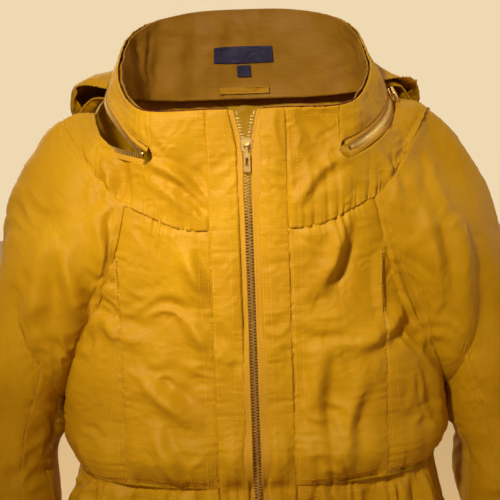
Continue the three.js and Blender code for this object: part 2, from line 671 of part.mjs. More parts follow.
frontPull.position.set(0, pinY, -sliderDrop);

// Collar zip: tapes and tooth rows follow the band; rows part behind the slider.
const zipFrom = 2.2;
const zipTo = stations - zipFrom;
function bandStrip(offset0, offset1, depth, thickness, from, to, steps, sign) {
  const point = (i, j) => {
    const q = lerp(from, to, i / steps);
    return bandPoint(q, sign * (mouth(q) + lerp(offset0, offset1, j)), depth);
  };
  return sheet(point, steps, 1, { thickness });
}
const closedEnd = 2.26;
const stopSpan = 0.1;
for (const [name, sign] of [['upper', 1], ['lower', -1]]) {
  const tapeStart = chainHalfWidth + tapeGap;
  const tape = bandStrip(tapeStart, collarTapeOuter, tapeDepth + collarTapeSink, tapeThickness, zipFrom, zipTo, 44, sign);
  add(`collar_zip_tape_${name}`, tape, tapeCloth());
  const from = closedEnd + stopSpan;
  const row = bandStrip(meetGap, chainHalfWidth, chainFront, chainThickness, from, stations - from, 60, sign);
  add(`collar_zip_teeth_${name}`, row, zipMetal());
}
for (const [name, q] of [['left', closedEnd], ['right', stations - closedEnd]]) {
  const towardTeeth = q < 9 ? stopSpan - 0.02 : -stopSpan + 0.02;
  const point = (i, j) => bandPoint(q + i * towardTeeth, lerp(-chainHalfWidth, chainHalfWidth, j), chainFront - 0.2);
  add(`collar_zip_stop_${name}`, sheet(point, 1, 1, { thickness: chainThickness + 0.4 }), zipMetal());
}
const seat = bandFrame(collarSliderStation);
const collarSliderSeat = new THREE.Group();
// Local x across the band (down), y into the collar, z along the zip toward its open end.
collarSliderSeat.matrixAutoUpdate = true;
const basis = new THREE.Matrix4().makeBasis(
  seat.up.clone().negate(), seat.out.clone().negate(), seat.along.clone(),
);
collarSliderSeat.quaternion.setFromRotationMatrix(basis);
collarSliderSeat.position.copy(neckBase(collarSliderStation));
coat.add(collarSliderSeat);
add('collar_zip_slider', sliderGeometry(), zipMetal(), collarSliderSeat);
const collarPull = add('collar_zip_pull', pullGeometry(collarPullLength), zipMetal(), collarSliderSeat);
collarPull.position.set(0, pinY, 0);

// ---- hood, out of the collar and hanging behind -------------------------------------------------
// u runs across (-1..1), v from the zip mouth over the top and down to the hood's free edge.
function hoodMiddle(u, v) {
  const k = 9 - 3.35 * Math.abs(u);
  const side = u >= 0 ? 1 : -1;
  const { out } = bandFrame(k);
  const level = v3(out.x, out.y, 0).normalize();
  const start = neckBase(k).addScaledVector(out, -hoodTuck);
  const crest = start.clone().addScaledVector(level, hoodReach).add(v3(0, 0, 12));
  const bottom = -hoodDrop + 225 * Math.abs(u) ** 2.6;
  const spread = Math.sin(Math.abs(u) * Math.PI / 2) ** 0.9;
  const end = v3(hoodHalfWidth * spread, lerp(158, 84, Math.abs(u) ** 2.6), bottom);
  const p = start.multiplyScalar((1 - v) ** 2).addScaledVector(crest, 2 * v * (1 - v)).addScaledVector(end, v * v);
  return mirrored(p, side);
}
function hoodHalfThickness(u, v) {
  const throat = Math.max(0.6, mouth(9 - 3.35 * Math.abs(u)) - hoodThroatGap);
  return lerp(throat, hoodThick * (1 - 0.3 * Math.abs(u)), ease(0.05, 0.75, v));
}
function hoodPiece(u0, u1, columns, v0, v1, rows) {
  const point = (i, j) => hoodMiddle(lerp(u0, u1, i / columns), lerp(v0, v1, j / rows));
  const normal = (i, j) => {
    const e = 0.01;
    const u = lerp(u0, u1, i / columns);
    const v = lerp(v0, v1, j / rows);
    const across = hoodMiddle(u + e, v).sub(hoodMiddle(u - e, v));
    const down = hoodMiddle(u, v + e).sub(hoodMiddle(u, v - e));
    return down.cross(across).normalize();
  };
  const thick = (i, j) => hoodHalfThickness(lerp(u0, u1, i / columns), lerp(v0, v1, j / rows));
  const positions = [];
  for (const sign of [1, -1]) {
    for (let i = 0; i <= columns; i += 1) {
      for (let j = 0; j <= rows; j += 1) {
        const p = point(i, j).addScaledVector(normal(i, j), sign * thick(i, j));
        positions.push(p.x, p.y, p.z);
      }
    }
  }
  const at = (i, j) => i * (rows + 1) + j;
  const back = (columns + 1) * (rows + 1);
  const index = [];
  const quad = (a, b, c, d) => index.push(a, b, c, a, c, d);
  for (let i = 0; i < columns; i += 1) {
    for (let j = 0; j < rows; j += 1) {
      quad(at(i, j), at(i + 1, j), at(i + 1, j + 1), at(i, j + 1));
      quad(back + at(i, j), back + at(i, j + 1), back + at(i + 1, j + 1), back + at(i + 1, j));
    }
    quad(at(i, 0), back + at(i, 0), back + at(i + 1, 0), at(i + 1, 0));
    quad(at(i, rows), at(i + 1, rows), back + at(i + 1, rows), back + at(i, rows));
  }
  for (let j = 0; j < rows; j += 1) {
    quad(at(0, j), at(0, j + 1), back + at(0, j + 1), back + at(0, j));
    quad(at(columns, j), back + at(columns, j), back + at(columns, j + 1), at(columns, j + 1));
  }
  if (signedVolume(positions, index) < 0) {
    for (let n = 0; n < index.length; n += 3) [index[n + 1], index[n + 2]] = [index[n + 2], index[n + 1]];
  }
  const geometry = new THREE.BufferGeometry();
  geometry.setAttribute('position', new THREE.Float32BufferAttribute(positions, 3));
  geometry.setIndex(index);
  geometry.computeVertexNormals();
  return geometry;
}
const hoodCasingFrom = 1 - hoodEdge / hoodDrop / 1.4;
const share = hoodPanelShare;
const seamU = seamGap / 2 / hoodHalfWidth;
add('hood_left', hoodPiece(share + seamU, 1, 7, 0, hoodCasingFrom - 0.003, 8), shellCloth());
add('hood_centre', hoodPiece(-share + seamU, share - seamU, 8, 0, hoodCasingFrom - 0.003, 8), shellCloth());
add('hood_right', hoodPiece(-1, -share - seamU, 7, 0, hoodCasingFrom - 0.003, 8), shellCloth());
add('hood_edge', hoodPiece(-1, 1, 22, hoodCasingFrom, 1, 1), shellCloth());

// ---- pockets ------------------------------------------------------------------------------------
for (const [name, side] of [['left', 1], ['right', -1]]) {
  const z0 = -pocketDrop;
  const bag = (i, j) => mirrored(bodyAt(pocketX + pocketBagWidth * (i / 10 - 0.5), z0 - pocketBagHeight * j / 4, -1), side);
  const bagSheet = sheet(bag, 10, 4, { depth: clothThickness + pocketGap, thickness: 2 });
  add(`pocket_bag_${name}`, bagSheet, facingCloth());
  const weltX = (j) => pocketX - 24 + 30 * j / 4;
  const welt = (i, j) => mirrored(bodyAt(weltX(j) + weltWidth * i, z0 - 5 - (pocketBagHeight - 20) * j / 4, -1), side);
  add(`pocket_welt_${name}`, sheet(welt, 1, 4, { depth: -2.4, thickness: 1.6 }), shellCloth());
}

export default coat;
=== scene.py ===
"""Hooded mustard cotton anorak, hanging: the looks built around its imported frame.

Lengths inside the shape classes are millimetres, in the frame's own axes: +Z up, the front faces
-Y and +X is the wearer's left. A mesh is turned to metres once, when it is made.
"""

from __future__ import annotations

import logging
import math
from collections.abc import Callable, Sequence
from dataclasses import dataclass, field
from enum import Enum

import bmesh
import bpy
import numpy as np
from mathutils import Matrix, Vector

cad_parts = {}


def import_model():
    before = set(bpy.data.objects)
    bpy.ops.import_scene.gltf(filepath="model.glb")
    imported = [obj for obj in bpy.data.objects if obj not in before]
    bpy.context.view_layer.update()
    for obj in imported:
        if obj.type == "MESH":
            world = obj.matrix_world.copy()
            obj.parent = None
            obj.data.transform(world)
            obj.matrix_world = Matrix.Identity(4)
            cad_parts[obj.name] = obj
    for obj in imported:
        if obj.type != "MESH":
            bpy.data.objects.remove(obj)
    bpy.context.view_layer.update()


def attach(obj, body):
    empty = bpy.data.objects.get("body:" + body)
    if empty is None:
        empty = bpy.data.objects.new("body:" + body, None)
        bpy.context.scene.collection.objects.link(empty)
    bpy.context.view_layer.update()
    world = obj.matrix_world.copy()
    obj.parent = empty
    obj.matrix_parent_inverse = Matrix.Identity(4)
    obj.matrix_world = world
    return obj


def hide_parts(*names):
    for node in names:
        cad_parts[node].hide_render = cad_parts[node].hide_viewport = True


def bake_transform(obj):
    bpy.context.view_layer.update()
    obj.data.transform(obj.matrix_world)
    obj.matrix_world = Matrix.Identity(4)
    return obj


LOG = logging.getLogger("anorak")
MM = 0.001
Array = np.ndarray
Surface = Callable[[Array, Array], Array]


class Side(Enum):
    """The wearer's side, with the sign of its X."""

    LEFT = 1
    RIGHT = -1

    @property
    def word(self) -> str:
        """The side's name in node names."""
        return self.name.lower()


# ---- numbers and curves


def ease(low: float, high: float, x: Array | float) -> Array:
    """Smooth step: 0 below low, 1 above high, 3t^2 - 2t^3 between."""
    t = np.clip((np.asarray(x, float) - low) / (high - low), 0, 1)
    return t * t * (3 - 2 * t)


def mix(a: Array | float, b: Array | float, t: Array | float) -> Array:
    """Straight blend from a at t = 0 to b at t = 1."""
    return a + (np.asarray(b, float) - a) * t


def through(keys: Sequence[tuple[float, float]], place: Array | float) -> Array:
    """Smooth value through (place, value) keys: a cubic with shared slopes, flat past the ends.

    Args:
        keys: (place, value) pairs in order.
        place: places to read.

    Returns:
        The value at each place.
    """
    xs, ys = np.array(keys, float).T
    x = np.clip(np.asarray(place, float), xs[0], xs[-1])
    i = np.clip(np.searchsorted(xs, x, side="right") - 1, 0, len(xs) - 2)
    slopes = np.empty(len(xs))
    slopes[1:-1] = (ys[2:] - ys[:-2]) / (xs[2:] - xs[:-2])
    slopes[0] = (ys[1] - ys[0]) / (xs[1] - xs[0])
    slopes[-1] = (ys[-1] - ys[-2]) / (xs[-1] - xs[-2])
    span = xs[i + 1] - xs[i]
    t = (x - xs[i]) / span
    h0, h1 = 2 * t**3 - 3 * t**2 + 1, t**3 - 2 * t**2 + t
    start = h0 * ys[i] + h1 * span * slopes[i]
    return start + (1 - h0) * ys[i + 1] + (t**3 - t**2) * span * slopes[i + 1]


def spline(points: Array, place: Array) -> Array:
    """Catmull-Rom curve through points: place counts the points, and the ends are open.

    Args:
        points: points.
        place: places to read.

    Returns:
        Points of the curve.
    """
    p = np.vstack([2 * points[0] - points[1], points, 2 * points[-1] - points[-2]])
    i = np.clip(np.floor(place).astype(int), 0, len(points) - 2)
    t = (place - i)[..., None]
    a, b, c, d = p[i], p[i + 1], p[i + 2], p[i + 3]
    square, cube = 2 * a - 5 * b + 4 * c - d, 3 * b - a - 3 * c + d
    return 0.5 * (2 * b + (c - a) * t + square * t**2 + cube * t**3)


def stack(x: Array, y: Array, z: Array) -> Array:
    """Points from three broadcast coordinate arrays."""
    return np.stack(np.broadcast_arrays(x, y, z), axis=-1).astype(float)


def unit(v: Array) -> Array:
    """Vectors scaled to length 1."""
    return v / np.maximum(np.linalg.norm(v, axis=-1, keepdims=True), 1e-9)


def quads(rings: Array, following: Array) -> Array:
    """Faces between closed rings of point numbers and the rings that follow them."""
    turned = np.roll(following, -1, -1)
    return np.stack([rings, np.roll(rings, -1, -1), turned, following], -1).reshape(-1, 4)


def mirrored(points: Array, side: Side) -> Array:
    """Points moved to the wearer's other side where side is RIGHT."""
    return points * np.array([side.value, 1.0, 1.0])


# ---- the coat's surfaces


@dataclass(frozen=True)
class BodyShape:
    """The body's plan sections: a superellipse whose width and depth change with height."""

    length: float = 630.0
    waist: float = 360.0
    armpit: float = 295.0
    power: float = 2.6
    front_top: float = 100.0
    front_hem: float = 128.0
    placket: float = 37.5
    princess: float = 127.0
    yoke_front: float = 112.0
    yoke_rise: float = 26.0
    yoke_back: float = 72.0
    raglan_x: float = 120.0
    width_keys: tuple = (
        (-630, 215), (-420, 198), (-360, 188), (-295, 195), (-200, 185), (-100, 170), (0, 150),
    )
    back_keys: tuple = (
        (-630, 125), (-420, 110), (-360, 102), (-295, 112), (-200, 116), (-100, 112), (0, 112),
    )
    raglan_keys: tuple = ((-295, 195), (-240, 178), (-190, 155), (-140, 134), (-86, 120))

    def half_width(self, z: Array) -> Array:
        """Half the body's width at a height."""
        return through(self.width_keys, z)

    def depth(self, z: Array, facing: Array | int) -> Array:
        """Distance from the middle plane to the front (facing -1) or back (+1) centre line."""
        front = mix(self.front_top, self.front_hem, -np.asarray(z, float) / self.length)
        return np.where(np.asarray(facing) < 0, front, through(self.back_keys, z))

    def raglan(self, z: Array) -> Array:
        """Where the raglan seam, or the side seam below the armpit, stands at a height.

        Args:
            z: heights.

        Returns:
            One for each place.
        """
        z = np.asarray(z, float)
        width = self.half_width(z)
        return np.where(z <= -self.armpit, width, np.minimum(through(self.raglan_keys, z), width))

    def angle_of(self, x: Array, z: Array) -> Array:
        """Section angle, from the centre line, where the section reaches x."""
        share = np.clip(np.maximum(x, 0) / self.half_width(z), 0, 1)
        return np.arcsin(share ** (self.power / 2))

    def on(self, angle: Array, z: Array, facing: Array | int) -> Array:
        """Point at a section angle: x and y are sine and cosine to the power 2 / n.

        Args:
            angle: section angles, radians.
            z: heights.
            facing: -1 for the front, +1 for the back.

        Returns:
            One for each place.
        """
        e = 2 / self.power
        x = self.half_width(z) * np.maximum(np.sin(angle), 0) ** e
        y = np.asarray(facing) * self.depth(z, facing) * np.maximum(np.cos(angle), 0) ** e
        return stack(x, y, z)

    def at(self, x: Array, z: Array, facing: int) -> Array:
        """Point of the body's surface straight before or behind (x, z)."""
        return self.on(self.angle_of(x, z), z, facing)

    def ring(self, w: Array, z: Array) -> Array:
        """Point at a ring place: 0 placket, 1 and 3 princess seams, 2 side or raglan, 4 back.

        Args:
            w: ring places.
            z: heights.

        Returns:
            Points.
        """
        limit = self.raglan(z)
        princess = np.minimum(self.princess, limit - 4)
        w = np.asarray(w, float) + np.zeros_like(limit)
        bounds = [self.placket + 0 * limit, princess, limit, princess, 0 * limit]
        angles = [self.angle_of(b, z) for b in bounds]
        i = np.clip(np.floor(w).astype(int), 0, 3)
        a = np.choose(i, angles[:4])
        b = np.choose(i, angles[1:])
        return self.on(mix(a, b, w - i), z, np.where(w <= 2, -1, 1))

    def front_seam(self, x: Array) -> Array:
        """Height of the front yoke seam: level at the placket, climbing towards the raglan seam."""
        return -self.yoke_front + self.yoke_rise * ease(50, self.raglan_x + 14, x)


BODY = BodyShape()
WAIST_SEAM = BODY.waist - 0.5  # where the bodice ends, just above the waist line
SKIRT_TOP = BODY.waist - 8.0  # the skirt starts under the bodice, by its seam allowance
SIDE_TOP = 135.4  # the top of both side panels, under the sleeve


@dataclass(frozen=True)
class NeckShape:
    """Neck curves by station: 0 centre front, 1 placket, 2 collar zip's end, 5 shoulder, 9 centre back."""

    end: tuple = (88.0, -96.0, -43.0)
    shoulder: tuple = (147.0, 4.0, 4.0)
    behind: tuple = (140.0, 45.0, 20.0)
    lean: float = math.radians(25)
    lean_up: float = math.radians(20)
    lean_down: float = math.radians(-5)
    spread: float = 10.0
    post: float = 1.8
    slider: float = 5.0

    def arc(self) -> tuple[Array, Array, Array, Array, float, float]:
        """The circle that the collar slider runs on: centre, axis, start arm, side arm and two
        angles.

        Returns:
            Centre, axis, the two arms and the angles of the shoulder and back.
        """
        p, q, r = (np.array(v) for v in (self.end, self.shoulder, self.behind))
        a, b = q - p, r - p
        c = np.cross(a, b)
        to = (np.cross(c, a) * b.dot(b) + np.cross(b, c) * a.dot(a)) / (2 * c.dot(c))
        axis, arm = c / np.linalg.norm(c), -to
        other = np.cross(axis, arm)
        angles = [math.atan2((v - p - to).dot(other), (v - p - to).dot(arm)) for v in (q, r)]
        return p + to, axis, arm, other, angles[0], angles[1]

    def base(self, k: Array) -> Array:
        """The neck line that the collar zip follows: a flat front, a true circle, then a soft
        back.

        Args:
            k: stations along the neck.

        Returns:
            The points or, on a panel, the points and their normals.
        """
        k = np.asarray(k, float)
        centre, _, arm, other, a5, a6 = self.arc()
        angle = np.where(k <= 5, a5 * (k - 2) / 3, mix(a5, a6, k - 5))
        circle = centre + np.cos(angle)[..., None] * arm + np.sin(angle)[..., None] * other
        t = np.clip(k / 2, 0, 1)
        front = stack(self.end[0] * t, mix(-102, self.end[1], t**2), self.end[2] + 0 * t)
        lead = centre + math.cos(a6 - 0.3) * arm + math.sin(a6 - 0.3) * other
        run = np.array([lead, self.behind, (118, 84, 34), (62, 113, 44), (0, 122, 47), (-62, 113, 44)], float)
        back = spline(run, np.clip(k - 5, 0, 5))
        return np.where((k <= 2)[..., None], front, np.where((k <= 6)[..., None], circle, back))

    def rim(self, k: Array) -> Array:
        """The collar's top edge.

        Args:
            k: stations along the neck.

        Returns:
            One for each place.
        """
        half = [(0, -100, 0), (37, -100, 0), (88, -91, 0), (110, -67, 8), (122, -34, 25), (125, 2, 47)]
        half += [(118, 44, 70), (98, 73, 86), (54, 96, 96), (0, 100, 98), (-54, 96, 96)]
        points = np.array([(-37, -100, 0), *half], float)
        return spline(points, np.asarray(k, float) + 1)

    def yoke(self, k: Array) -> Array:
        """The yoke's lower seam, all round.

        Args:
            k: stations along the neck.

        Returns:
            One for each place.
        """
        k = np.asarray(k, float)
        xs = np.array([0, BODY.placket, self.end[0], BODY.raglan_x])
        x_front = np.interp(k, [0, 1, 2, 3], xs)
        front = BODY.at(x_front, BODY.front_seam(x_front), -1)
        x_back = mix(BODY.raglan_x, 0, np.clip((k - 7) / 2, 0, 1))
        back = BODY.at(x_back, -BODY.yoke_back + 0 * x_back, 1)
        edge = BODY.at(np.array([88.0, 120.0]), BODY.front_seam(np.array([88.0, 120.0])), -1)
        rear = BODY.at(np.array([120.0, 62.0]), np.full(2, -BODY.yoke_back), 1)
        top = np.vstack([edge, [(155, -50, -50), (182, 0, -10), (155, 52, -46)], rear])
        over = spline(top, np.clip(k - 2, 0, 6))
        return np.where((k <= 3)[..., None], front, np.where((k >= 7)[..., None], back, over))

    def mouth(self, q: Array) -> Array:
        """Half the clear opening between the two tooth rows, at a station counted round from the left."""
        parting = self.post * np.clip((q - self.slider) / 0.1, 0, 1)
        return (parting + self.spread * ease(self.slider + 0.2, 7.2, q)) * (1 - ease(14.2, 16, q))

    def band_frame(self, k: Array, edge: Array) -> tuple[Array, Array, Array]:
        """Along the neck, up the zip band and out of the cloth, at a station and on one of its
        edges.

        Args:
            k: stations along the neck.
            edge: above 0 for the upper edge, else the lower.

        Returns:
            Unit vectors along, up and out.
        """
        k = np.asarray(k, float)
        step = 0.02
        along = unit(self.base(np.minimum(9.3, k + step)) - self.base(np.maximum(2, k - step)))
        turned = ease(5.6, 7, k)
        axis = mix(self.arc()[1], np.array([0, 0, 1.0]), turned[..., None])
        level = unit(np.cross(along, axis))
        rise = unit(np.cross(level, along))
        lean = mix(self.lean, np.where(edge > 0, self.lean_up, self.lean_down), turned)[..., None]
        up = rise * np.cos(lean) - level * np.sin(lean)
        out = level * np.cos(lean) + rise * np.sin(lean)
        return along, up, out

    def band(self, q: Array, offset: Array, depth: Array | float = 0.0) -> Array:
        """Point of the zip band: offset up from the meeting line and depth into the coat.

        Args:
            q: stations counted all round.
            offset: height over the meeting line.
            depth: how far into the coat.

        Returns:
            One for each place.
        """
        q, offset = np.broadcast_arrays(np.asarray(q, float), np.asarray(offset, float))
        k = np.where(q <= 9, q, 18 - q)
        _, up, out = self.band_frame(np.maximum(2, k), np.sign(offset))
        p = self.base(k) + up * offset[..., None] - out * np.asarray(depth, float)[..., None]
        p[..., 0] *= np.where(q <= 9, 1, -1)
        return p


NECK = NeckShape()
LANE = 8.5  # from the collar zip's meeting line to the cloth's cut edge, millimetres
FACING_SPAN = (0.78, 17.22)  # stations where the collar facing starts and ends
SHOULDER = (165.0, 0.0, -215.0)  # the raglan head swells away from this point


def round_neck(q: Array) -> tuple[Array, Array]:
    """Station and side of a place counted all round from the left front."""
    q = np.asarray(q, float)
    return np.where(q <= 9, q, 18 - q), np.where(q <= 9, 1.0, -1.0)[..., None] * [1, 0, 0] + [0, 1, 1]


@dataclass(frozen=True)
class SleeveShape:
    """A raglan sleeve: its head from the yoke to the shoulder cut, then a tapering bent tube."""

    pivot: tuple = (249.0, 0.0, -118.0)
    cuff: float = 612.0
    bulge: float = 14.0

    def sections(self) -> tuple[Array, Array, Array]:
        """Middle, half vector to the outer edge and half depth of each section.

        Returns:
            Middles, reaches and depths.
        """
        low = np.array([196.5, 0, -295.0])
        top = np.array(self.pivot)
        middles = np.array([(top + low) / 2, (256, 0, -330), (276, 0, -450), (300, 0, -self.cuff)])
        reaches = np.array([(top - low) / 2, (53, 0, 11), (54, 0, 6), (43, 0, 3)])
        return middles, reaches, np.array([68.0, 63.0, 56.0, 40.0])

    def tube(self, s: Array, angle: Array) -> Array:
        """Point of the tube: s from the shoulder cut to the cuff, angle from the outer edge,
        front < 0.

        Args:
            s: from the shoulder cut, 0, to the cuff, 1.
            angle: section angles, radians.

        Returns:
            One for each place.
        """
        middles, reaches, depths = self.sections()
        s, angle = np.broadcast_arrays(np.asarray(s, float), np.asarray(angle, float))
        p = spline(middles, s * 3) + spline(reaches, s * 3) * np.cos(angle)[..., None]
        depth = through([(i / 3, d) for i, d in enumerate(depths)], s)
        return p + stack(0 * s, np.sin(angle) * depth, 0 * s)

    def seam(self, u: Array, inset: Array | float = 0.0) -> Array:
        """The head's inner edge, or inside it: up the front seam, over the yoke, down the back.

        Args:
            u: places along the seam, 0 to 1.
            inset: millimetres inside the edge.

        Returns:
            Points.
        """
        u = np.asarray(u, float)
        front_z = mix(-BODY.armpit, -(BODY.yoke_front - BODY.yoke_rise), np.clip(u / 0.35, 0, 1))
        back_z = mix(-BODY.armpit, -BODY.yoke_back, np.clip((1 - u) / 0.35, 0, 1))
        front = BODY.at(BODY.raglan(front_z) - inset, front_z, -1)
        back = BODY.at(BODY.raglan(back_z) - inset, back_z, 1)
        k = mix(3, 7, np.clip((u - 0.35) / 0.3, 0, 1))
        top = NECK.yoke(k) + unit(NECK.base(k) - NECK.yoke(k)) * np.asarray(inset, float)[..., None]
        return np.where((u < 0.35)[..., None], front, np.where((u > 0.65)[..., None], back, top))


SLEEVE = SleeveShape()


# ---- cloth relief


@dataclass(frozen=True)
class Fold:
    """One drawn fold of the cloth: a ridge along a curve in the front view, or in the back view."""

    run: tuple  # (x, z) points in millimetres
    height: float
    width: float
    behind: bool = False

    def lift(self, x: Array, z: Array) -> Array:
        """Ridge height: a bell across the curve with a shallow valley beside it, fading at both
        ends.

        Args:
            x: distances from the middle plane.
            z: heights.

        Returns:
            Lift at each place.
        """
        p = np.array(self.run, float)
        if len(p) > 2:
            p = spline(p, np.linspace(0, len(p) - 1, 4 * len(p)))
        a, b = p[:-1], p[1:]
        d = b - a
        span = np.linalg.norm(d, axis=1)
        before = np.concatenate([[0], np.cumsum(span)[:-1]])
        total = span.sum()
        best = np.full(x.shape, 1e9)
        along = np.zeros(x.shape)
        offset = np.zeros(x.shape)
        for i in range(len(a)):
            t = np.clip(((x - a[i, 0]) * d[i, 0] + (z - a[i, 1]) * d[i, 1]) / span[i] ** 2, 0, 1)
            dx, dz = x - a[i, 0] - t * d[i, 0], z - a[i, 1] - t * d[i, 1]
            far = np.hypot(dx, dz)
            near = far < best
            best = np.where(near, far, best)
            along = np.where(near, (before[i] + t * span[i]) / total, along)
            offset = np.where(near, np.sign(d[i, 0] * dz - d[i, 1] * dx) * far, offset)
        fade = np.sin(np.pi * np.clip(0.06 + 0.88 * along, 0, 1)) ** 0.8
        share = offset / self.width
        return self.height * fade * (np.exp(-share**2) - 0.55 * np.exp(-((share - 1.5) ** 2)))


def wander(p: Array, wavelength: float, seed: int, waves: int = 9) -> Array:
    """Soft unevenness of one scale, about -1 to 1: a sum of plane waves in seeded directions.

    Args:
        p: points.
        wavelength: size of the waves.
        seed: seed of the draws.
        waves: how many waves are summed.

    Returns:
        The unevenness, about -1 to 1.
    """
    rng = np.random.default_rng(seed)
    total = np.zeros(p.shape[:-1])
    for _ in range(waves):
        direction = rng.normal(size=3)
        direction /= np.linalg.norm(direction)
        length = wavelength * rng.uniform(0.7, 1.5)
        total += np.sin(p @ direction * (2 * math.pi / length) + rng.uniform(0, 2 * math.pi))
    return total / math.sqrt(waves)


def crumple(p: Array, wavelength: float, seed: int) -> Array:
    """Sharp-edged unevenness, as creased cotton has: one minus the size of a wander, centred.

    Args:
        p: points.
        wavelength: size of the waves.
        seed: seed of the draws.

    Returns:
        The unevenness.
    """
    shifts = [wander(p, wavelength * 1.7, seed + i, 5) for i in (1, 2, 3)]
    bent = p + wavelength * 0.35 * np.stack(shifts, -1)
    return 0.6 - np.abs(wander(bent, wavelength, seed, 6))


def ripple(s: Array, pitch: float, seed: int) -> Array:
    """Gathers along a seam: round ridges with sharp valleys, about `pitch` apart and uneven.

    Args:
        s: distance along the seam.
        pitch: millimetres from ridge to ridge.
        seed: seed of the draws.

    Returns:
        The ridges, about -0.6 to 0.4.
    """
    rng = np.random.default_rng(seed)
    phase = s / pitch
    for scale in (2.3, 4.1, 7.7):
        phase = phase + 0.32 * np.sin(2 * math.pi * s / (pitch * scale) + rng.uniform(0, 6.3))
    size = 0.8 + 0.35 * np.sin(2 * math.pi * s / (pitch * 3.4) + rng.uniform(0, 6.3))
    return (np.abs(np.sin(math.pi * phase)) - 0.62) * size


@dataclass(frozen=True)
class Seam:
    """Relief beside one edge of a panel: gathers or puckers that run away from the seam."""

    pitch: float  # millimetres from ridge to ridge
    height: float
    reach: float  # how far the ridges run into the panel
    seed: int = 1

    def lift(self, along: Array, away: Array) -> Array:
        """Ridges that fade with the distance from the seam; broad ones last longer.

        Args:
            along: distance along the seam.
            away: distance from the seam.

        Returns:
            Lift at each place.
        """
        fine = ripple(along, self.pitch, self.seed) * np.exp(-away / self.reach)
        broad = ripple(along, self.pitch * 2.4, self.seed + 40) * np.exp(-away / (3.2 * self.reach))
        return self.height * (fine + 0.75 * broad)


PUCKER = Seam(pitch=9.0, height=0.9, reach=7.0, seed=3)


@dataclass
class Cloth:
    """The relief of the whole coat, laid on every panel from the same places."""

    folds: list[Fold] = field(default_factory=list)
    soft: float = 4.0
    crisp: float = 2.4
    gather: float = 1.0
    pull: tuple = (152.0, 14.0, -2.0)  # the cloth lies calm round the collar zip's pull

    def relief(self, p: Array, soft: float = 1.0) -> Array:
        """Lift along the normal at points p: drawn folds, soft unevenness and small creases.

        Args:
            p: points.
            soft: share of the soft relief.

        Returns:
            Lift at each point.
        """
        x, y, z = p[..., 0], p[..., 1], p[..., 2]
        front = ease(25, -25, y)
        total = soft * self.soft * wander(p, 110, 11)
        upright = wander(p * np.array([1.0, 1.0, 0.5]), 52, 23)
        total = total + 2.2 * soft * upright * ease(0, 1, 0.5 + wander(p, 170, 31))
        total = total + self.crisp * crumple(p, 44, 47) * ease(-0.6, 0.8, wander(p, 90, 53))
        total = total + 0.22 * self.crisp * crumple(p, 16, 59)
        total = total + self.waist(x, y, z)
        near = np.linalg.norm(p - np.array(self.pull), axis=-1)
        total = total * mix(0.1, 1, ease(14, 52, near))
        for fold in self.folds:
            weight = (1 - front) if fold.behind else front
            if np.any(weight > 0):
                total = total + weight * fold.lift(x, z)
        return total

    def waist(self, x: Array, y: Array, z: Array) -> Array:
        """Elastic gathers, deep below the waist seam and short above, and the cloth's fall.

        Args:
            x: distances from the middle plane.
            y: depths.
            z: heights.

        Returns:
            Lift at each point.
        """
        round_ = 190 * np.arctan2(x, -y)
        line = -BODY.waist
        below, above = np.maximum(line - z, 0), np.maximum(z - line, 0)
        deep = ripple(round_, 19, 5) * np.exp(-below / 45)
        deep = deep + 1.1 * ripple(round_, 44, 9) * np.exp(-below / 190)
        short = ripple(round_, 13, 7) * np.exp(-above / 12)
        short = short + 1.3 * ripple(round_, 33, 6) * np.exp(-above / 42)
        total = mix(2.4 * short, 10.5 * deep, ease(line - 1, line - 26, z))
        total = total + 8 * np.exp(-(((z - line - 30) / 20) ** 2))
        total = total - 2.5 * np.exp(-(((z - line) / 7) ** 2))
        total = total - 5 * ease(line + 14, line - 8, z) * np.exp(-below / 60)
        return self.gather * total * ease(205, 199, np.abs(x)) * ease(-250, -290, z)


def lines(count: int, length: float, tight: float = 1.3) -> Array:
    """Grid places from 0 to 1 with two extra lines close to each end, where a seam edge rolls in.

    Args:
        count: number of grid cells.
        length: length.
        tight: first extra line from the end.

    Returns:
        Sorted grid places, 0 to 1.
    """
    inner = np.linspace(0, 1, max(3, count) + 1)
    close = np.array([tight, 2.2 * tight]) / length
    return np.unique(np.concatenate([inner, close, 1 - close]))


@dataclass
class Edge:
    """How one edge of a panel ends: `roll` turned in, and the relief that runs off it."""

    roll: float = 0.9
    seam: Seam | None = PUCKER
    hold: float = 6.0  # distance over which the free relief is held down by the stitching
    tuck: float = 0.0  # how much of it is seam allowance, under the neighbour


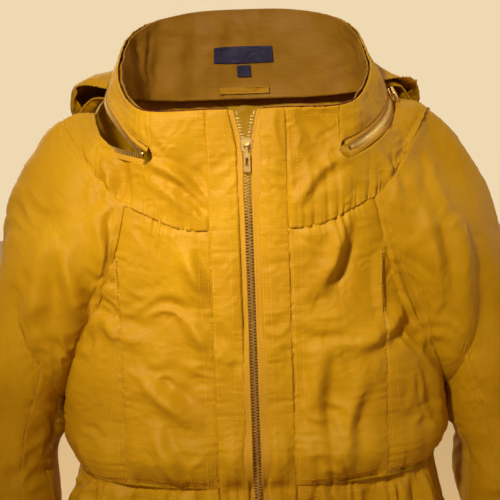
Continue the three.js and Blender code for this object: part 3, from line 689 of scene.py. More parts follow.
@dataclass
class Panel:
    """A sewn cloth panel: a surface of two parameters with relief, thickness and stitched edges."""

    name: str
    surface: Surface  # (u, v) arrays of one shape -> points
    cloth: Cloth
    nodes: tuple[str, ...]
    body: str = "coat"
    pitch: float = 2.6  # grid spacing, millimetres
    thickness: float = 1.3
    depth: float = 0.0
    start_u: Edge = field(default_factory=Edge)
    end_u: Edge = field(default_factory=Edge)
    start_v: Edge = field(default_factory=Edge)
    end_v: Edge = field(default_factory=Edge)
    soft: float = 1.0
    core: tuple = (0.0, 0.0, -150.0)
    keep: Callable[[Array, Array], Array] | None = None
    extra: Callable[[Array, Array, Array], Array] | None = None
    closed_u: bool = False
    held: str = "hung"

    def __post_init__(self) -> None:
        """Measures the panel's two lengths and finds which way its normals have to be turned."""
        t = np.linspace(0, 1, 33)
        u, v = np.meshgrid(t, t, indexing="ij")
        p = self.surface(u, v)
        self.width = float(np.linalg.norm(np.diff(p, axis=0), axis=-1).sum(0).mean())
        self.height = float(np.linalg.norm(np.diff(p, axis=1), axis=-1).sum(1).mean())
        n = np.cross(np.gradient(p, axis=0), np.gradient(p, axis=1))
        self.sign = 1.0 if (n * (p - np.array(self.core))).sum() > 0 else -1.0

    def base(self, u: Array, v: Array) -> tuple[Array, Array]:
        """Points and outward unit normals of the bare surface.

        Args:
            u: places across, 0 to 1.
            v: places down, 0 to 1.

        Returns:
            The points or, on a panel, the points and their normals.
        """
        e = 1e-3
        du = self.surface(np.clip(u + e, 0, 1), v) - self.surface(np.clip(u - e, 0, 1), v)
        dv = self.surface(u, np.clip(v + e, 0, 1)) - self.surface(u, np.clip(v - e, 0, 1))
        return self.surface(u, v), self.sign * unit(np.cross(du, dv))

    def lift(self, u: Array, v: Array, p: Array) -> Array:
        """Height over the bare surface: free relief held down at seams, seam relief and rolled
        edges.

        Args:
            u: places across, 0 to 1.
            v: places down, 0 to 1.
            p: points.

        Returns:
            Lift at each place.
        """
        sides = [
            (self.start_u, u * self.width, v * self.height),
            (self.end_u, (1 - u) * self.width, v * self.height),
            (self.start_v, v * self.height, u * self.width),
            (self.end_v, (1 - v) * self.height, u * self.width),
        ]
        free = np.ones(u.shape)
        seams = np.zeros(u.shape)
        roll = np.zeros(u.shape)
        for n, (edge, away, along) in enumerate(sides):
            if self.closed_u and n < 2:
                continue
            free = free * mix(0.35, 1, ease(0, 4 * edge.hold, away))
            if edge.seam:
                seams = seams + edge.seam.lift(along + 37 * n, away)
            roll = np.maximum(roll, edge.roll * (1 - ease(edge.tuck, edge.tuck + 2.6, away)))
            if edge.tuck:
                under = 1 - ease(0.4 * edge.tuck, edge.tuck + 0.6, away)
                roll = np.maximum(roll, (edge.roll + 0.8) * under)
        total = free * self.cloth.relief(p, self.soft) + seams - roll
        return total + (self.extra(u, v, p) if self.extra else 0)

    def skin(self, u: Array, v: Array, sink: float = 0.0) -> tuple[Array, Array]:
        """Points of the finished outer face, sunk by `sink`, and the bare normals."""
        p, n = self.base(u, v)
        return p + n * (self.lift(u, v, p) - self.depth - sink)[..., None], n

    def build(self, finish: "Finish") -> bpy.types.Object:
        """The panel as a closed sheet: outer and inner grids joined round the rim.

        Args:
            finish: the material it gets.

        Returns:
            The object, riding on its body and standing for its nodes.
        """
        u1 = lines(round(self.width / self.pitch), self.width)
        v1 = lines(round(self.height / self.pitch), self.height)
        u, v = np.meshgrid(u1, v1, indexing="ij")
        outer, n = self.skin(u, v)
        inner = outer - n * self.thickness
        keep = np.ones((len(u1) - 1, len(v1) - 1), bool)
        if self.keep:
            keep = self.keep((u[1:, 1:] + u[:-1, :-1]) / 2, (v[1:, 1:] + v[:-1, :-1]) / 2)
        uv = np.stack([u * self.width, v * self.height], -1) * MM
        obj = shell_object(self.name, outer, inner, keep, uv, self.sign, self.closed_u)
        return dress(obj, finish, self.body, self.nodes)


def shell_object(
    name: str, outer: Array, inner: Array, keep: Array, uv: Array, sign: float, closed: bool
) -> bpy.types.Object:
    """A closed sheet from two grids of points.

    Args:
        name: the piece's name.
        outer: outer grid, (i, j, 3).
        inner: inner grid of the same shape.
        keep: which grid cells exist.
        uv: cloth coordinates of the grid, in metres.
        sign: +1 where the grid's own normals point out.
        closed: whether the grid closes on itself along i.

    Returns:
        The new object.
    """
    ni, nj = outer.shape[:2]
    if closed:
        outer, inner, ni = outer[:-1], inner[:-1], ni - 1
    index = np.arange(ni * nj).reshape(ni, nj)
    cells_i = ni if closed else ni - 1
    i, j = np.meshgrid(np.arange(cells_i), np.arange(nj - 1), indexing="ij")
    i, j = i[keep], j[keep]
    i2 = (i + 1) % ni
    a, b, c, d = index[i, j], index[i2, j], index[i2, j + 1], index[i, j + 1]
    half = ni * nj
    front = np.stack([a, b, c, d], -1)
    back = np.stack([a, d, c, b], -1) + half
    edges = np.concatenate([front[:, [0, 1]], front[:, [1, 2]], front[:, [2, 3]], front[:, [3, 0]]])
    code = edges[:, 0].astype(np.int64) * half + edges[:, 1]
    mate = edges[:, 1].astype(np.int64) * half + edges[:, 0]
    rim = edges[~np.isin(code, mate)]
    walls = np.stack([rim[:, 0], rim[:, 0] + half, rim[:, 1] + half, rim[:, 1]], -1)
    faces = np.concatenate([front, back, walls])
    if sign < 0:
        faces = faces[:, ::-1]
    points = np.concatenate([outer.reshape(-1, 3), inner.reshape(-1, 3)])
    coords = np.concatenate([uv[:ni].reshape(-1, 2)] * 2)
    used, faces = np.unique(faces, return_inverse=True)
    return mesh_object(name, points[used], faces.reshape(-1, 4), coords[used])


def mesh_object(name: str, points: Array, faces: Array, uv: Array | None = None) -> bpy.types.Object:
    """An object from points in millimetres and faces of one size, smooth, with a UV per point.

    Args:
        name: the piece's name.
        points: points.
        faces: faces as point numbers, all of one size.
        uv: a UV for each point, metres.

    Returns:
        The new object.
    """
    mesh = bpy.data.meshes.new(name)
    count, size = faces.shape
    mesh.vertices.add(len(points))
    mesh.vertices.foreach_set("co", (points * MM).astype(np.float32).ravel())
    mesh.loops.add(count * size)
    mesh.loops.foreach_set("vertex_index", faces.astype(np.int32).ravel())
    mesh.polygons.add(count)
    mesh.polygons.foreach_set("loop_start", np.arange(0, count * size, size, dtype=np.int32))
    mesh.polygons.foreach_set("use_smooth", np.ones(count, bool))
    if uv is not None:
        layer = mesh.uv_layers.new(name="cloth")
        layer.data.foreach_set("uv", uv[faces.ravel()].astype(np.float32).ravel())
    mesh.update(calc_edges=True)
    mesh.validate()
    obj = bpy.data.objects.new(name, mesh)
    bpy.context.collection.objects.link(obj)
    return obj


def dress(
    obj: bpy.types.Object, finish: "Finish", body: str | None, nodes: Sequence[str]
) -> bpy.types.Object:
    """Gives a piece its material and its body, and hides the CAD nodes that it stands for.

    Args:
        obj: the piece.
        finish: its finish.
        body: the body that it rides on.
        nodes: the CAD nodes that it stands for.

    Returns:
        The same object.
    """
    obj.data.materials.clear()
    obj.data.materials.append(finish.material())
    if body:
        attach(obj, body)
    if nodes:
        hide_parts(*nodes)
    LOG.info("%s: %d faces", obj.name, len(obj.data.polygons))
    return obj


# ---- finishes


def linear(code: str) -> tuple[float, float, float, float]:
    """Linear colour from an sRGB hex value.

    Args:
        code: hex colour.

    Returns:
        Red, green, blue and alpha.
    """
    parts = [int(code[i : i + 2], 16) / 255 for i in (1, 3, 5)]
    values = [c / 12.92 if c <= 0.04045 else ((c + 0.055) / 1.055) ** 2.4 for c in parts]
    return (*values, 1.0)


def place(
    tree: bpy.types.NodeTree, kind: str, links: dict | None = None, **settings: object
) -> bpy.types.Node:
    """Adds a node, sets its properties or sockets, and links other nodes' sockets into it.

    Args:
        tree: the material's node tree.
        kind: the node's type.
        links: input name or number -> output socket.
        settings: property names, or input names with _ for each space.

    Returns:
        The new node.
    """
    node = tree.nodes.new(kind)
    for key, value in settings.items():
        if hasattr(node, key):
            setattr(node, key, value)
        else:
            node.inputs[key.replace("_", " ")].default_value = value
    for key, socket in (links or {}).items():
        tree.links.new(socket, node.inputs[key])
    return node


@dataclass(frozen=True)
class Finish:
    """A surface finish: its material is made once and shared."""

    name: str
    slot: str

    def material(self) -> bpy.types.Material:
        """The finish's material.

        Returns:
            The material, shared by its name.
        """
        found = bpy.data.materials.get(self.name)
        if found:
            return found
        made = bpy.data.materials.new(self.name)
        made.use_nodes = True
        tree = made.node_tree
        self.fill(tree, tree.nodes["Principled BSDF"])
        return made

    def fill(self, tree: bpy.types.NodeTree, shader: bpy.types.Node) -> None:
        """Sets the shader and adds the patterns."""
        raise NotImplementedError


@dataclass(frozen=True)
class Woven(Finish):
    """Woven cotton or tape: a diagonal or straight rib from the piece's own UV, in two close shades."""

    shade: str = "#C29406"
    deep: str = "#A87404"
    rib: float = 0.0014  # metres from rib to rib
    diagonal: bool = True
    rough: float = 0.58
    sheen: float = 0.06
    depth: float = 0.00012

    def fill(self, tree: bpy.types.NodeTree, shader: bpy.types.Node) -> None:
        """Cloudy dye, slubs and the weave's ribs in colour and bump.

        Args:
            tree: the material's node tree.
            shader: the material's main shader.
        """
        uv = place(tree, "ShaderNodeUVMap", uv_map="cloth")
        spot = place(tree, "ShaderNodeTexCoord")
        cloud = place(tree, "ShaderNodeTexNoise", {"Vector": spot.outputs["Object"]}, Scale=14.0, Detail=6.0)
        grain = place(tree, "ShaderNodeTexNoise", {"Vector": uv.outputs[0]}, Scale=420.0, Detail=3.0)
        stretch = place(tree, "ShaderNodeMapping", {"Vector": uv.outputs[0]}, Scale=(60.0, 900.0, 1.0))
        slub = place(tree, "ShaderNodeTexNoise", {"Vector": stretch.outputs[0]}, Scale=1.0, Detail=2.0)
        turns = (0.444 if self.diagonal else 0.314) / self.rib
        direction = "DIAGONAL" if self.diagonal else "X"
        rib = place(
            tree, "ShaderNodeTexWave", {"Vector": uv.outputs[0]},
            bands_direction=direction, Scale=turns, Distortion=1.2, Detail=2.0,
        )
        shades = place(tree, "ShaderNodeMix", {0: cloud.outputs["Fac"]}, data_type="RGBA")
        shades.inputs[6].default_value = linear(self.deep)
        shades.inputs[7].default_value = linear(self.shade)
        speck = place(
            tree, "ShaderNodeMapRange", {"Value": slub.outputs["Fac"]},
            From_Min=0.3, From_Max=0.7, To_Min=0.93, To_Max=1.06,
        )
        tone = place(tree, "ShaderNodeMix", {6: shades.outputs[2]}, data_type="RGBA", blend_type="MULTIPLY")
        tone.inputs[0].default_value = 1.0
        grey = place(tree, "ShaderNodeCombineColor", {n: speck.outputs[0] for n in range(3)})
        tree.links.new(grey.outputs[0], tone.inputs[7])
        tree.links.new(tone.outputs[2], shader.inputs["Base Color"])
        fine = place(
            tree, "ShaderNodeBump", {"Height": rib.outputs["Fac"]}, Strength=0.35, Distance=self.depth,
        )
        soft = place(
            tree, "ShaderNodeBump", {"Height": grain.outputs["Fac"], "Normal": fine.outputs[0]},
            Strength=0.4, Distance=0.0003,
        )
        tree.links.new(soft.outputs[0], shader.inputs["Normal"])
        for key, value in (
            ("Roughness", self.rough), ("Sheen Weight", self.sheen), ("Sheen Roughness", 0.45),
            ("Sheen Tint", linear("#E8B850")), ("Specular IOR Level", 0.16),
        ):
            shader.inputs[key].default_value = value


@dataclass(frozen=True)
class Metal(Finish):
    """Die-cast, plated metal: bright, with tumbling marks that blur the highlight a little."""

    shade: str = "#F6DC92"
    dull: str = "#D9AF5A"
    rough: float = 0.36

    def fill(self, tree: bpy.types.NodeTree, shader: bpy.types.Node) -> None:
        """Two shades by a fine noise, and the noise in roughness and bump.

        Args:
            tree: the material's node tree.
            shader: the material's main shader.
        """
        spot = place(tree, "ShaderNodeTexCoord")
        mark = place(tree, "ShaderNodeTexNoise", {"Vector": spot.outputs["Object"]}, Scale=600.0, Detail=4.0)
        shades = place(tree, "ShaderNodeMix", {0: mark.outputs["Fac"]}, data_type="RGBA")
        shades.inputs[6].default_value = linear(self.dull)
        shades.inputs[7].default_value = linear(self.shade)
        tree.links.new(shades.outputs[2], shader.inputs["Base Color"])
        spread = place(
            tree, "ShaderNodeMapRange", {"Value": mark.outputs["Fac"]},
            To_Min=self.rough - 0.08, To_Max=self.rough + 0.12,
        )
        tree.links.new(spread.outputs[0], shader.inputs["Roughness"])
        bump = place(tree, "ShaderNodeBump", {"Height": mark.outputs["Fac"]}, Strength=0.15, Distance=0.0001)
        tree.links.new(bump.outputs[0], shader.inputs["Normal"])
        shader.inputs["Metallic"].default_value = 1.0


COTTON = Woven("washed cotton twill", "shell_cloth")
LINING = Woven("cotton twill, wrong side", "facing_cloth", shade="#A87820", deep="#936616", depth=0.00009)
TAPE = Woven(
    "zip tape", "zip_tape", shade="#C4901F", deep="#AC7B18", rib=0.0012, diagonal=False, depth=0.0002,
)
THREAD = Woven("sewing thread", "shell_cloth", shade="#E0AC3C", deep="#CF9A2C", rib=0.0008, rough=0.6)
ELASTIC = Woven("woven elastic", "elastic", shade="#E4DCC8", deep="#CFC4A8", rib=0.0018, diagonal=False)
SATIN = Woven("woven satin label", "label_cloth", shade="#3B3850", deep="#2E2C40", rib=0.0008, rough=0.5)
# dark maroon finish for the thin rod that darkens the collar's front top edge
DARK_EDGE = Woven("dark edge line", "shell_cloth", shade="#5A1210", deep="#430B0C", rib=0.001, rough=0.7)
BRASS = Metal("die-cast gold-plated zinc", "zip_metal")


# ---- stitches and other repeated small shapes


def prisms(rings: Array) -> tuple[Array, Array]:
    """Closed bars from rings of points.

    Args:
        rings: (bars, rings, corners, 3), each bar's rings in order along it.

    Returns:
        Points and quad faces; the two ends are closed by their four corners.
    """
    n, m, c = rings.shape[:3]
    index = np.arange(n * m * c).reshape(n, m, c)
    sides = quads(index[:, :-1], index[:, 1:])
    caps = np.concatenate([index[:, 0, ::-1], index[:, -1]])
    return rings.reshape(-1, 3), np.concatenate([sides, caps])


@dataclass
class Stitching:
    """Rows of stitches laid on finished panels, gathered into one piece for each body."""

    name: str
    pitch: float = 3.3
    length: float = 2.5
    radius: float = 0.3
    rows: list = field(default_factory=list)

    def row(self, panel: Panel, u: Array | float, v: Array | float, steps: int = 400) -> None:
        """A row of stitches along a line of the panel's own parameters.

        Args:
            panel: the panel.
            u: one place or the places of its line.
            v: one place or the places of its line.
            steps: points along the row.
        """
        t = np.linspace(0, 1, steps)
        us, vs = (
            np.interp(t, np.linspace(0, 1, np.size(w)), w) if np.size(w) > 1 else np.full(steps, w)
            for w in (u, v)
        )
        p, n = panel.skin(us, vs)
        self.path(p, n)

    def path(self, p: Array, n: Array) -> None:
        """A row of stitches along a line of points with normals.

        Args:
            p: points.
            n: unit normals.
        """
        s = np.concatenate([[0], np.cumsum(np.linalg.norm(np.diff(p, axis=0), axis=1))])
        count = int(s[-1] / self.pitch)
        if count < 2:
            return
        middle = (np.arange(count) + 0.5) * self.pitch
        places = [middle - self.length / 2, middle, middle + self.length / 2]
        rings = []
        for n_ring, at in enumerate(places):
            q = np.stack([np.interp(at, s, p[:, i]) for i in range(3)], -1)
            m = unit(np.stack([np.interp(at, s, n[:, i]) for i in range(3)], -1))
            t = unit(np.stack([np.interp(at + 0.5, s, p[:, i]) for i in range(3)], -1) - q)
            side = unit(np.cross(m, t))
            size = self.radius if n_ring == 1 else self.radius * 0.55
            rise = 0.28 if n_ring == 1 else -0.18
            q = q + m * rise
            rings.append(np.stack([q + side * size, q + m * size, q - side * size, q - m * size], 1))
        self.rows.append(np.stack(rings, 1))

    def build(self, finish: Finish, body: str | None) -> bpy.types.Object:
        """All rows as one piece of small closed bars.

        Args:
            finish: its finish.
            body: the body that it rides on.

        Returns:
            The finished piece.
        """
        points, faces = prisms(np.concatenate(self.rows))
        obj = mesh_object(self.name, points, faces, points[:, :2] * MM)
        return dress(obj, finish, body, ())


def teeth(
    centres: Array, across: Array, along: Array, out: Array, reach: float, back: float
) -> tuple[Array, Array]:
    """Zip teeth: each a bar from its tape edge to just past the meeting line, narrowed at its head.

    Args:
        centres: where each tooth meets the line between the rows.
        across: unit vectors from the meeting line towards the tape.
        along: unit vectors along the zip.
        out: unit vectors out of the cloth.
        reach: how far the head goes past the meeting line.
        back: how far the root goes over the tape.

    Returns:
        Points and faces.
    """
    profile = [(-reach, 0.42, 0.62), (-reach + 0.5, 0.72, 1.0), (0.5, 0.5, 1.1)]
    profile += [(1.3, 0.8, 1.2), (back, 0.62, 0.95)]
    rings = []
    for offset, half_along, half_out in profile:
        q = centres + across * offset
        corners = [(1, 0.55), (0.55, 1), (-0.55, 1), (-1, 0.55)]
        upper = [q + along * (a * half_along) + out * (b * half_out) for a, b in corners]
        lower = [q + along * (-a * half_along) - out * (b * half_out) for a, b in corners]
        rings.append(np.stack(upper + lower, 1))
    rings = np.stack(rings, 1)
    n, m, c = rings.shape[:3]
    index = np.arange(n * m * c).reshape(n, m, c)
    sides = quads(index[:, :-1], index[:, 1:])
    ends = []
    for ring, turn in ((index[:, 0], -1), (index[:, -1], 1)):
        for first, second, third, fourth in ((0, 1, 2, 3), (0, 3, 4, 7), (4, 5, 6, 7)):
            quad = ring[:, [first, second, third, fourth]]
            ends.append(quad[:, ::turn])
    return rings.reshape(-1, 3), np.concatenate([sides, *ends])


def outward(obj: bpy.types.Object) -> None:
    """Turns a closed mesh's faces outwards.

    Args:
        obj: the piece.
    """
    bm = bmesh.new()
    bm.from_mesh(obj.data)
    bmesh.ops.remove_doubles(bm, verts=bm.verts, dist=1e-7)
    bmesh.ops.recalc_face_normals(bm, faces=bm.faces)
    bm.to_mesh(obj.data)
    bm.free()


# ---- the sewn sub-assemblies


def ring_all(w: Array, z: Array) -> Array:
    """Body ring place from 0 to 8: past 4, the centre back, it comes round on the right.

    Args:
        w: ring places.
        z: heights.

    Returns:
        One for each place.
    """
    p = BODY.ring(np.where(w <= 4, w, 8 - w), z)
    p[..., 0] *= np.where(w <= 4, 1, -1)
    return p


OPEN = Edge(roll=0.0, seam=None, hold=0.01)
GATHERED = Edge(roll=0.6, seam=Seam(pitch=8.0, height=2.4, reach=10.0, seed=8), hold=3.0)
HEM = Edge(roll=0.8, seam=Seam(pitch=12.0, height=0.7, reach=14.0, seed=5), hold=3.0)
GATHERED_UNDER = Edge(roll=1.1, seam=Seam(pitch=8.5, height=3.0, reach=15.0, seed=9), hold=3.0, tuck=3.0)
WAIST = Edge(roll=1.0, seam=None, hold=0.01)
FELLED = Edge(roll=0.8, seam=PUCKER, hold=3.0)
WAIST_UNDER = Edge(roll=1.0, seam=None, hold=0.01, tuck=8.0)


def all_round(edge: Edge) -> dict[str, Edge]:
    """The same edge for all four sides of a panel."""
    return dict.fromkeys(("start_u", "end_u", "start_v", "end_v"), edge)


@dataclass
class Tailor:
    """Builds panels of one cloth and keeps their topstitching."""

    cloth: Cloth
    stitches: Stitching = field(default_factory=lambda: Stitching("rows"))

    def panel(self, name: str, surface: Surface, **settings: object) -> Panel:
        """A panel of this cloth that stands for the node of its own name."""
        return Panel(f"{name}_cloth", surface, self.cloth, (name,), **settings)

    def sew(
        self, panel: Panel, finish: Finish = COTTON, full: float = 1.0, drawn: bool = True,
        rows: dict[str, tuple[float, ...]] | None = None,
    ) -> bpy.types.Object:
        """Builds a panel.

        Args:
            panel: the panel.
            finish: its finish.
            full: how much wider than its gathered width it was cut; not used.
            drawn: whether the areas of its surface's cells are worked out.
            rows: stitch rows, as for topstitch: the edge and the distances inside it.

        Returns:
            The finished object.
        """
        obj = panel.build(finish)
        if drawn:
            t = np.linspace(0, 1, 41)
            u, v = np.meshgrid(t, t, indexing="ij")
            p = panel.surface(u, v) * MM
            a, b = np.diff(p, axis=0), np.diff(p, axis=1)
            cells = np.linalg.norm(np.cross(a[:, :-1], b[:-1]), axis=-1)
            if panel.keep:
                cells = cells * panel.keep(u[:-1, :-1] + 0.0125, v[:-1, :-1] + 0.0125)
        for edge, offsets in (rows or {}).items():
            self.topstitch(panel, edge, *offsets)
        return obj

    def topstitch(
        self, panel: Panel, edge: str, *offsets: float, start: float = 0.0, end: float = 1.0
    ) -> None:
        """Stitch rows beside an edge: u0, u1, v0 or v1, each so many millimetres inside it.

        Args:
            panel: the panel.
            edge: u0, u1, v0 or v1.
            start: where the row starts, 0 to 1.
            end: where the row ends, 0 to 1.
            offsets: distances inside the edge.
        """
        t = np.linspace(start, end, 300)
        for offset in offsets:
            share = offset / (panel.width if edge[0] == "u" else panel.height)
            across = np.full(300, share if edge[1] == "0" else 1 - share)
            self.stitches.row(panel, *((across, t) if edge[0] == "u" else (t, across)))


def v_gap(down: Array) -> Array:
    """How far each front edge stands off the middle above the slider."""
    return 7.5 * (1 - np.clip(np.asarray(down, float) / 38, 0, 1)) ** 1.3


@dataclass
class Bodice:
    """The coat's body: plackets, panels and skirts."""

    tailor: Tailor

    def build(self) -> None:
        """Sews every body panel."""
        for side in Side:
            self.placket(side)
            self.front(side)
            self.back_side(side)
            self.skirt_front(side)
            Pocket(self.tailor, side).build()
        self.back()
        self.skirt_back()
        self.waistband()

    def placket(self, side: Side) -> None:
        """The strip beside the zip, puckered across by the zip's shorter tape.

        Args:
            side: the wearer's side.
        """

        def surface(u: Array, v: Array) -> Array:
            """Points of the bare panel."""
            z = -BODY.length * v
            return mirrored(BODY.at(mix(9 + v_gap(-z), 37.1, u), z, -1), side)

        def extra(u: Array, v: Array, p: Array) -> Array:
            """Lift of this panel alone.

            Args:
                u: places across, 0 to 1.
                v: places down, 0 to 1.
                p: points.

            Returns:
                Extra lift.
            """
            down = -p[..., 2]
            pucker = ripple(down + 3 * np.sin(down / 21), 11.5, 12 + side.value) * np.exp(-u * 2.0)
            ends = ease(0, 25, down) * ease(BODY.length, BODY.length - 15, down)
            return 0.85 * pucker * ends + 0.5 * np.sin(np.pi * u)

        edge = Edge(roll=1.0, seam=None, hold=2.0)
        panel = self.tailor.panel(
            f"placket_{side.word}", surface, pitch=1.7, start_u=edge,
            end_u=Edge(roll=1.0, seam=PUCKER, hold=3.0), start_v=edge, end_v=edge,
            extra=extra, soft=0.5,
        )
        self.tailor.sew(panel, rows={"u0": (2.2, 9.0), "u1": (2.0,)})

    def front(self, side: Side) -> None:
        """The front panel and the front side panel.

        Args:
            side: the wearer's side.
        """

        def place_at(u: Array, z: Array) -> Array:
            """Ring places of the front panel."""
            return mix(-0.035, 1, u) + ease(-139, -131, z) * ease(0.86, 1, u)

        def middle(u: Array, v: Array) -> Array:
            """The front panel.

            Args:
                u: places round the neck, -1 to 1 in the hood.
                v: places down from the neck.

            Returns:
                Points; in the hood, with half the distance of its layers.
            """
            top = np.full(np.shape(u), -100.0)
            for _ in range(6):
                top = BODY.front_seam(BODY.ring(place_at(u, top), top)[..., 0]) + 2.6
            z = mix(top, -WAIST_SEAM, v)
            return mirrored(BODY.ring(place_at(u, z), z), side)

        def flank(u: Array, v: Array) -> Array:
            """The front side panel."""
            return mirrored(BODY.ring(mix(0.955, 2, u), mix(-SIDE_TOP, -WAIST_SEAM, v)), side)

        seam = Edge(roll=1.1, seam=Seam(8.0, 1.3, 8.0, 4), hold=4.0)
        under = Edge(roll=1.1, seam=Seam(8.0, 1.3, 8.0, 4), hold=4.0, tuck=3.0)
        panel = self.tailor.panel(
            f"front_panel_{side.word}", middle, pitch=1.9, start_v=GATHERED_UNDER,
            end_v=WAIST, start_u=under, end_u=seam,
        )
        self.tailor.sew(panel, full=1.12, rows={"u0": (5.0, 11.0), "u1": (2.0,), "v1": (3.0, 9.0)})
        panel = self.tailor.panel(
            f"front_side_panel_{side.word}", flank, pitch=2.1, start_v=under,
            end_v=WAIST, start_u=under, end_u=seam,
        )
        self.tailor.sew(panel, full=1.08, rows={"u0": (5.5, 11.5), "v1": (3.0, 9.0)})

    def back_side(self, side: Side) -> None:
        """The back side panel.

        Args:
            side: the wearer's side.
        """

        def surface(u: Array, v: Array) -> Array:
            """Points of the bare panel."""
            return mirrored(BODY.ring(mix(1.955, 3.03, u), mix(-SIDE_TOP, -WAIST_SEAM, v)), side)

        seam = Edge(seam=PUCKER, hold=4.0, tuck=3.0)
        panel = self.tailor.panel(
            f"back_side_panel_{side.word}", surface, end_v=WAIST, start_u=seam, end_u=seam,
        )
        self.tailor.sew(panel, full=1.08, rows={"u1": (5.0, 11.0), "v1": (3.0, 9.0)})

    def back(self) -> None:
        """The back panel, gathered to the yoke above and the waist below."""

        def surface(u: Array, v: Array) -> Array:
            """Points of the bare panel.

            Args:
                u: places across, 0 to 1.
                v: places down, 0 to 1.

            Returns:
                Points.
            """
            z = mix(-69.4, -WAIST_SEAM, v)
            reach = 0.9 * ease(-139, -131, z)
            return ring_all(mix(3 - reach, 5 + reach, u), z)

        panel = self.tailor.panel(
            "back_panel", surface, start_v=GATHERED_UNDER, end_v=WAIST,
        )
        self.tailor.sew(panel, full=1.12, rows={"u0": (2.0,), "u1": (2.0,), "v1": (3.0, 9.0)})

    def skirt_front(self, side: Side) -> None:
        """The gathered front below the waist.

        Args:
            side: the wearer's side.
        """

        def surface(u: Array, v: Array) -> Array:
            """Points of the bare panel."""
            return mirrored(BODY.ring(mix(0, 2.02, u), mix(-SKIRT_TOP, -BODY.length, v)), side)

        panel = self.tailor.panel(
            f"skirt_front_{side.word}", surface, pitch=2.3, start_v=WAIST_UNDER, end_v=HEM,
        )
        rows = {"u0": (2.0, 8.0), "v0": (12.0, 19.0), "v1": (20.0,)}
        self.tailor.sew(panel, full=1.25, rows=rows)

    def skirt_back(self) -> None:
        """The gathered back below the waist."""

        def surface(u: Array, v: Array) -> Array:
            """Points of the bare panel."""
            return ring_all(mix(2, 6, u), mix(-SKIRT_TOP, -BODY.length, v))

        panel = self.tailor.panel(
            "skirt_back", surface, pitch=2.6, start_v=WAIST_UNDER, end_v=HEM,
        )
        self.tailor.sew(panel, full=1.25, rows={"v0": (12.0, 19.0), "v1": (20.0,)})

    def waistband(self) -> None:
        """The elastic and its casing inside the waist seam."""
        for name, depth, height, thick, finish in (
            ("waist_casing", 9.6, 20.0, 0.9, LINING), ("waist_elastic", 8.4, 14.0, 0.8, ELASTIC),
        ):

            def surface(u: Array, v: Array, height: float = height) -> Array:
                """Points of the bare panel."""
                top, foot = -BODY.waist + height / 2, -BODY.waist - height / 2
                return ring_all(mix(0.04, 7.96, u), mix(top, foot, v))

            calm = Cloth(self.tailor.cloth.folds, crisp=0.4, gather=0.35)
            panel = Panel(
                f"{name}_cloth", surface, calm, (name,), pitch=2.6, thickness=thick, depth=depth,
                held="gathered", **all_round(OPEN),
            )
            self.tailor.sew(panel, finish, full=1.2 if name == "waist_casing" else 1.0)


@dataclass
class Pocket:
    """A slanted welt pocket in the skirt, with its bag behind."""

    tailor: Tailor
    side: Side

    def build(self) -> None:
        """Sews the bag and the welt."""
        side = self.side

        def bag(u: Array, v: Array) -> Array:
            """Points of the bag."""
            return mirrored(BODY.at(mix(35, 155, u), mix(-410, -560, v), -1), side)

        def welt(u: Array, v: Array) -> Array:
            """Points of the welt."""
            return mirrored(BODY.at(71 + 30 * v + 16 * u, mix(-415, -545, v), -1), side)

        sides = all_round(Edge(roll=0.4, seam=None, hold=0.01))
        panel = self.tailor.panel(
            f"pocket_bag_{side.word}", bag, depth=2.9, thickness=1.1, pitch=3.4, **sides,
        )
        self.tailor.sew(panel, LINING)
        panel = self.tailor.panel(
            f"pocket_welt_{side.word}", welt, depth=-2.1, thickness=1.8, pitch=2.0, **sides,
        )
        self.tailor.sew(panel, rows={"u0": (2.0,), "u1": (2.0,)})


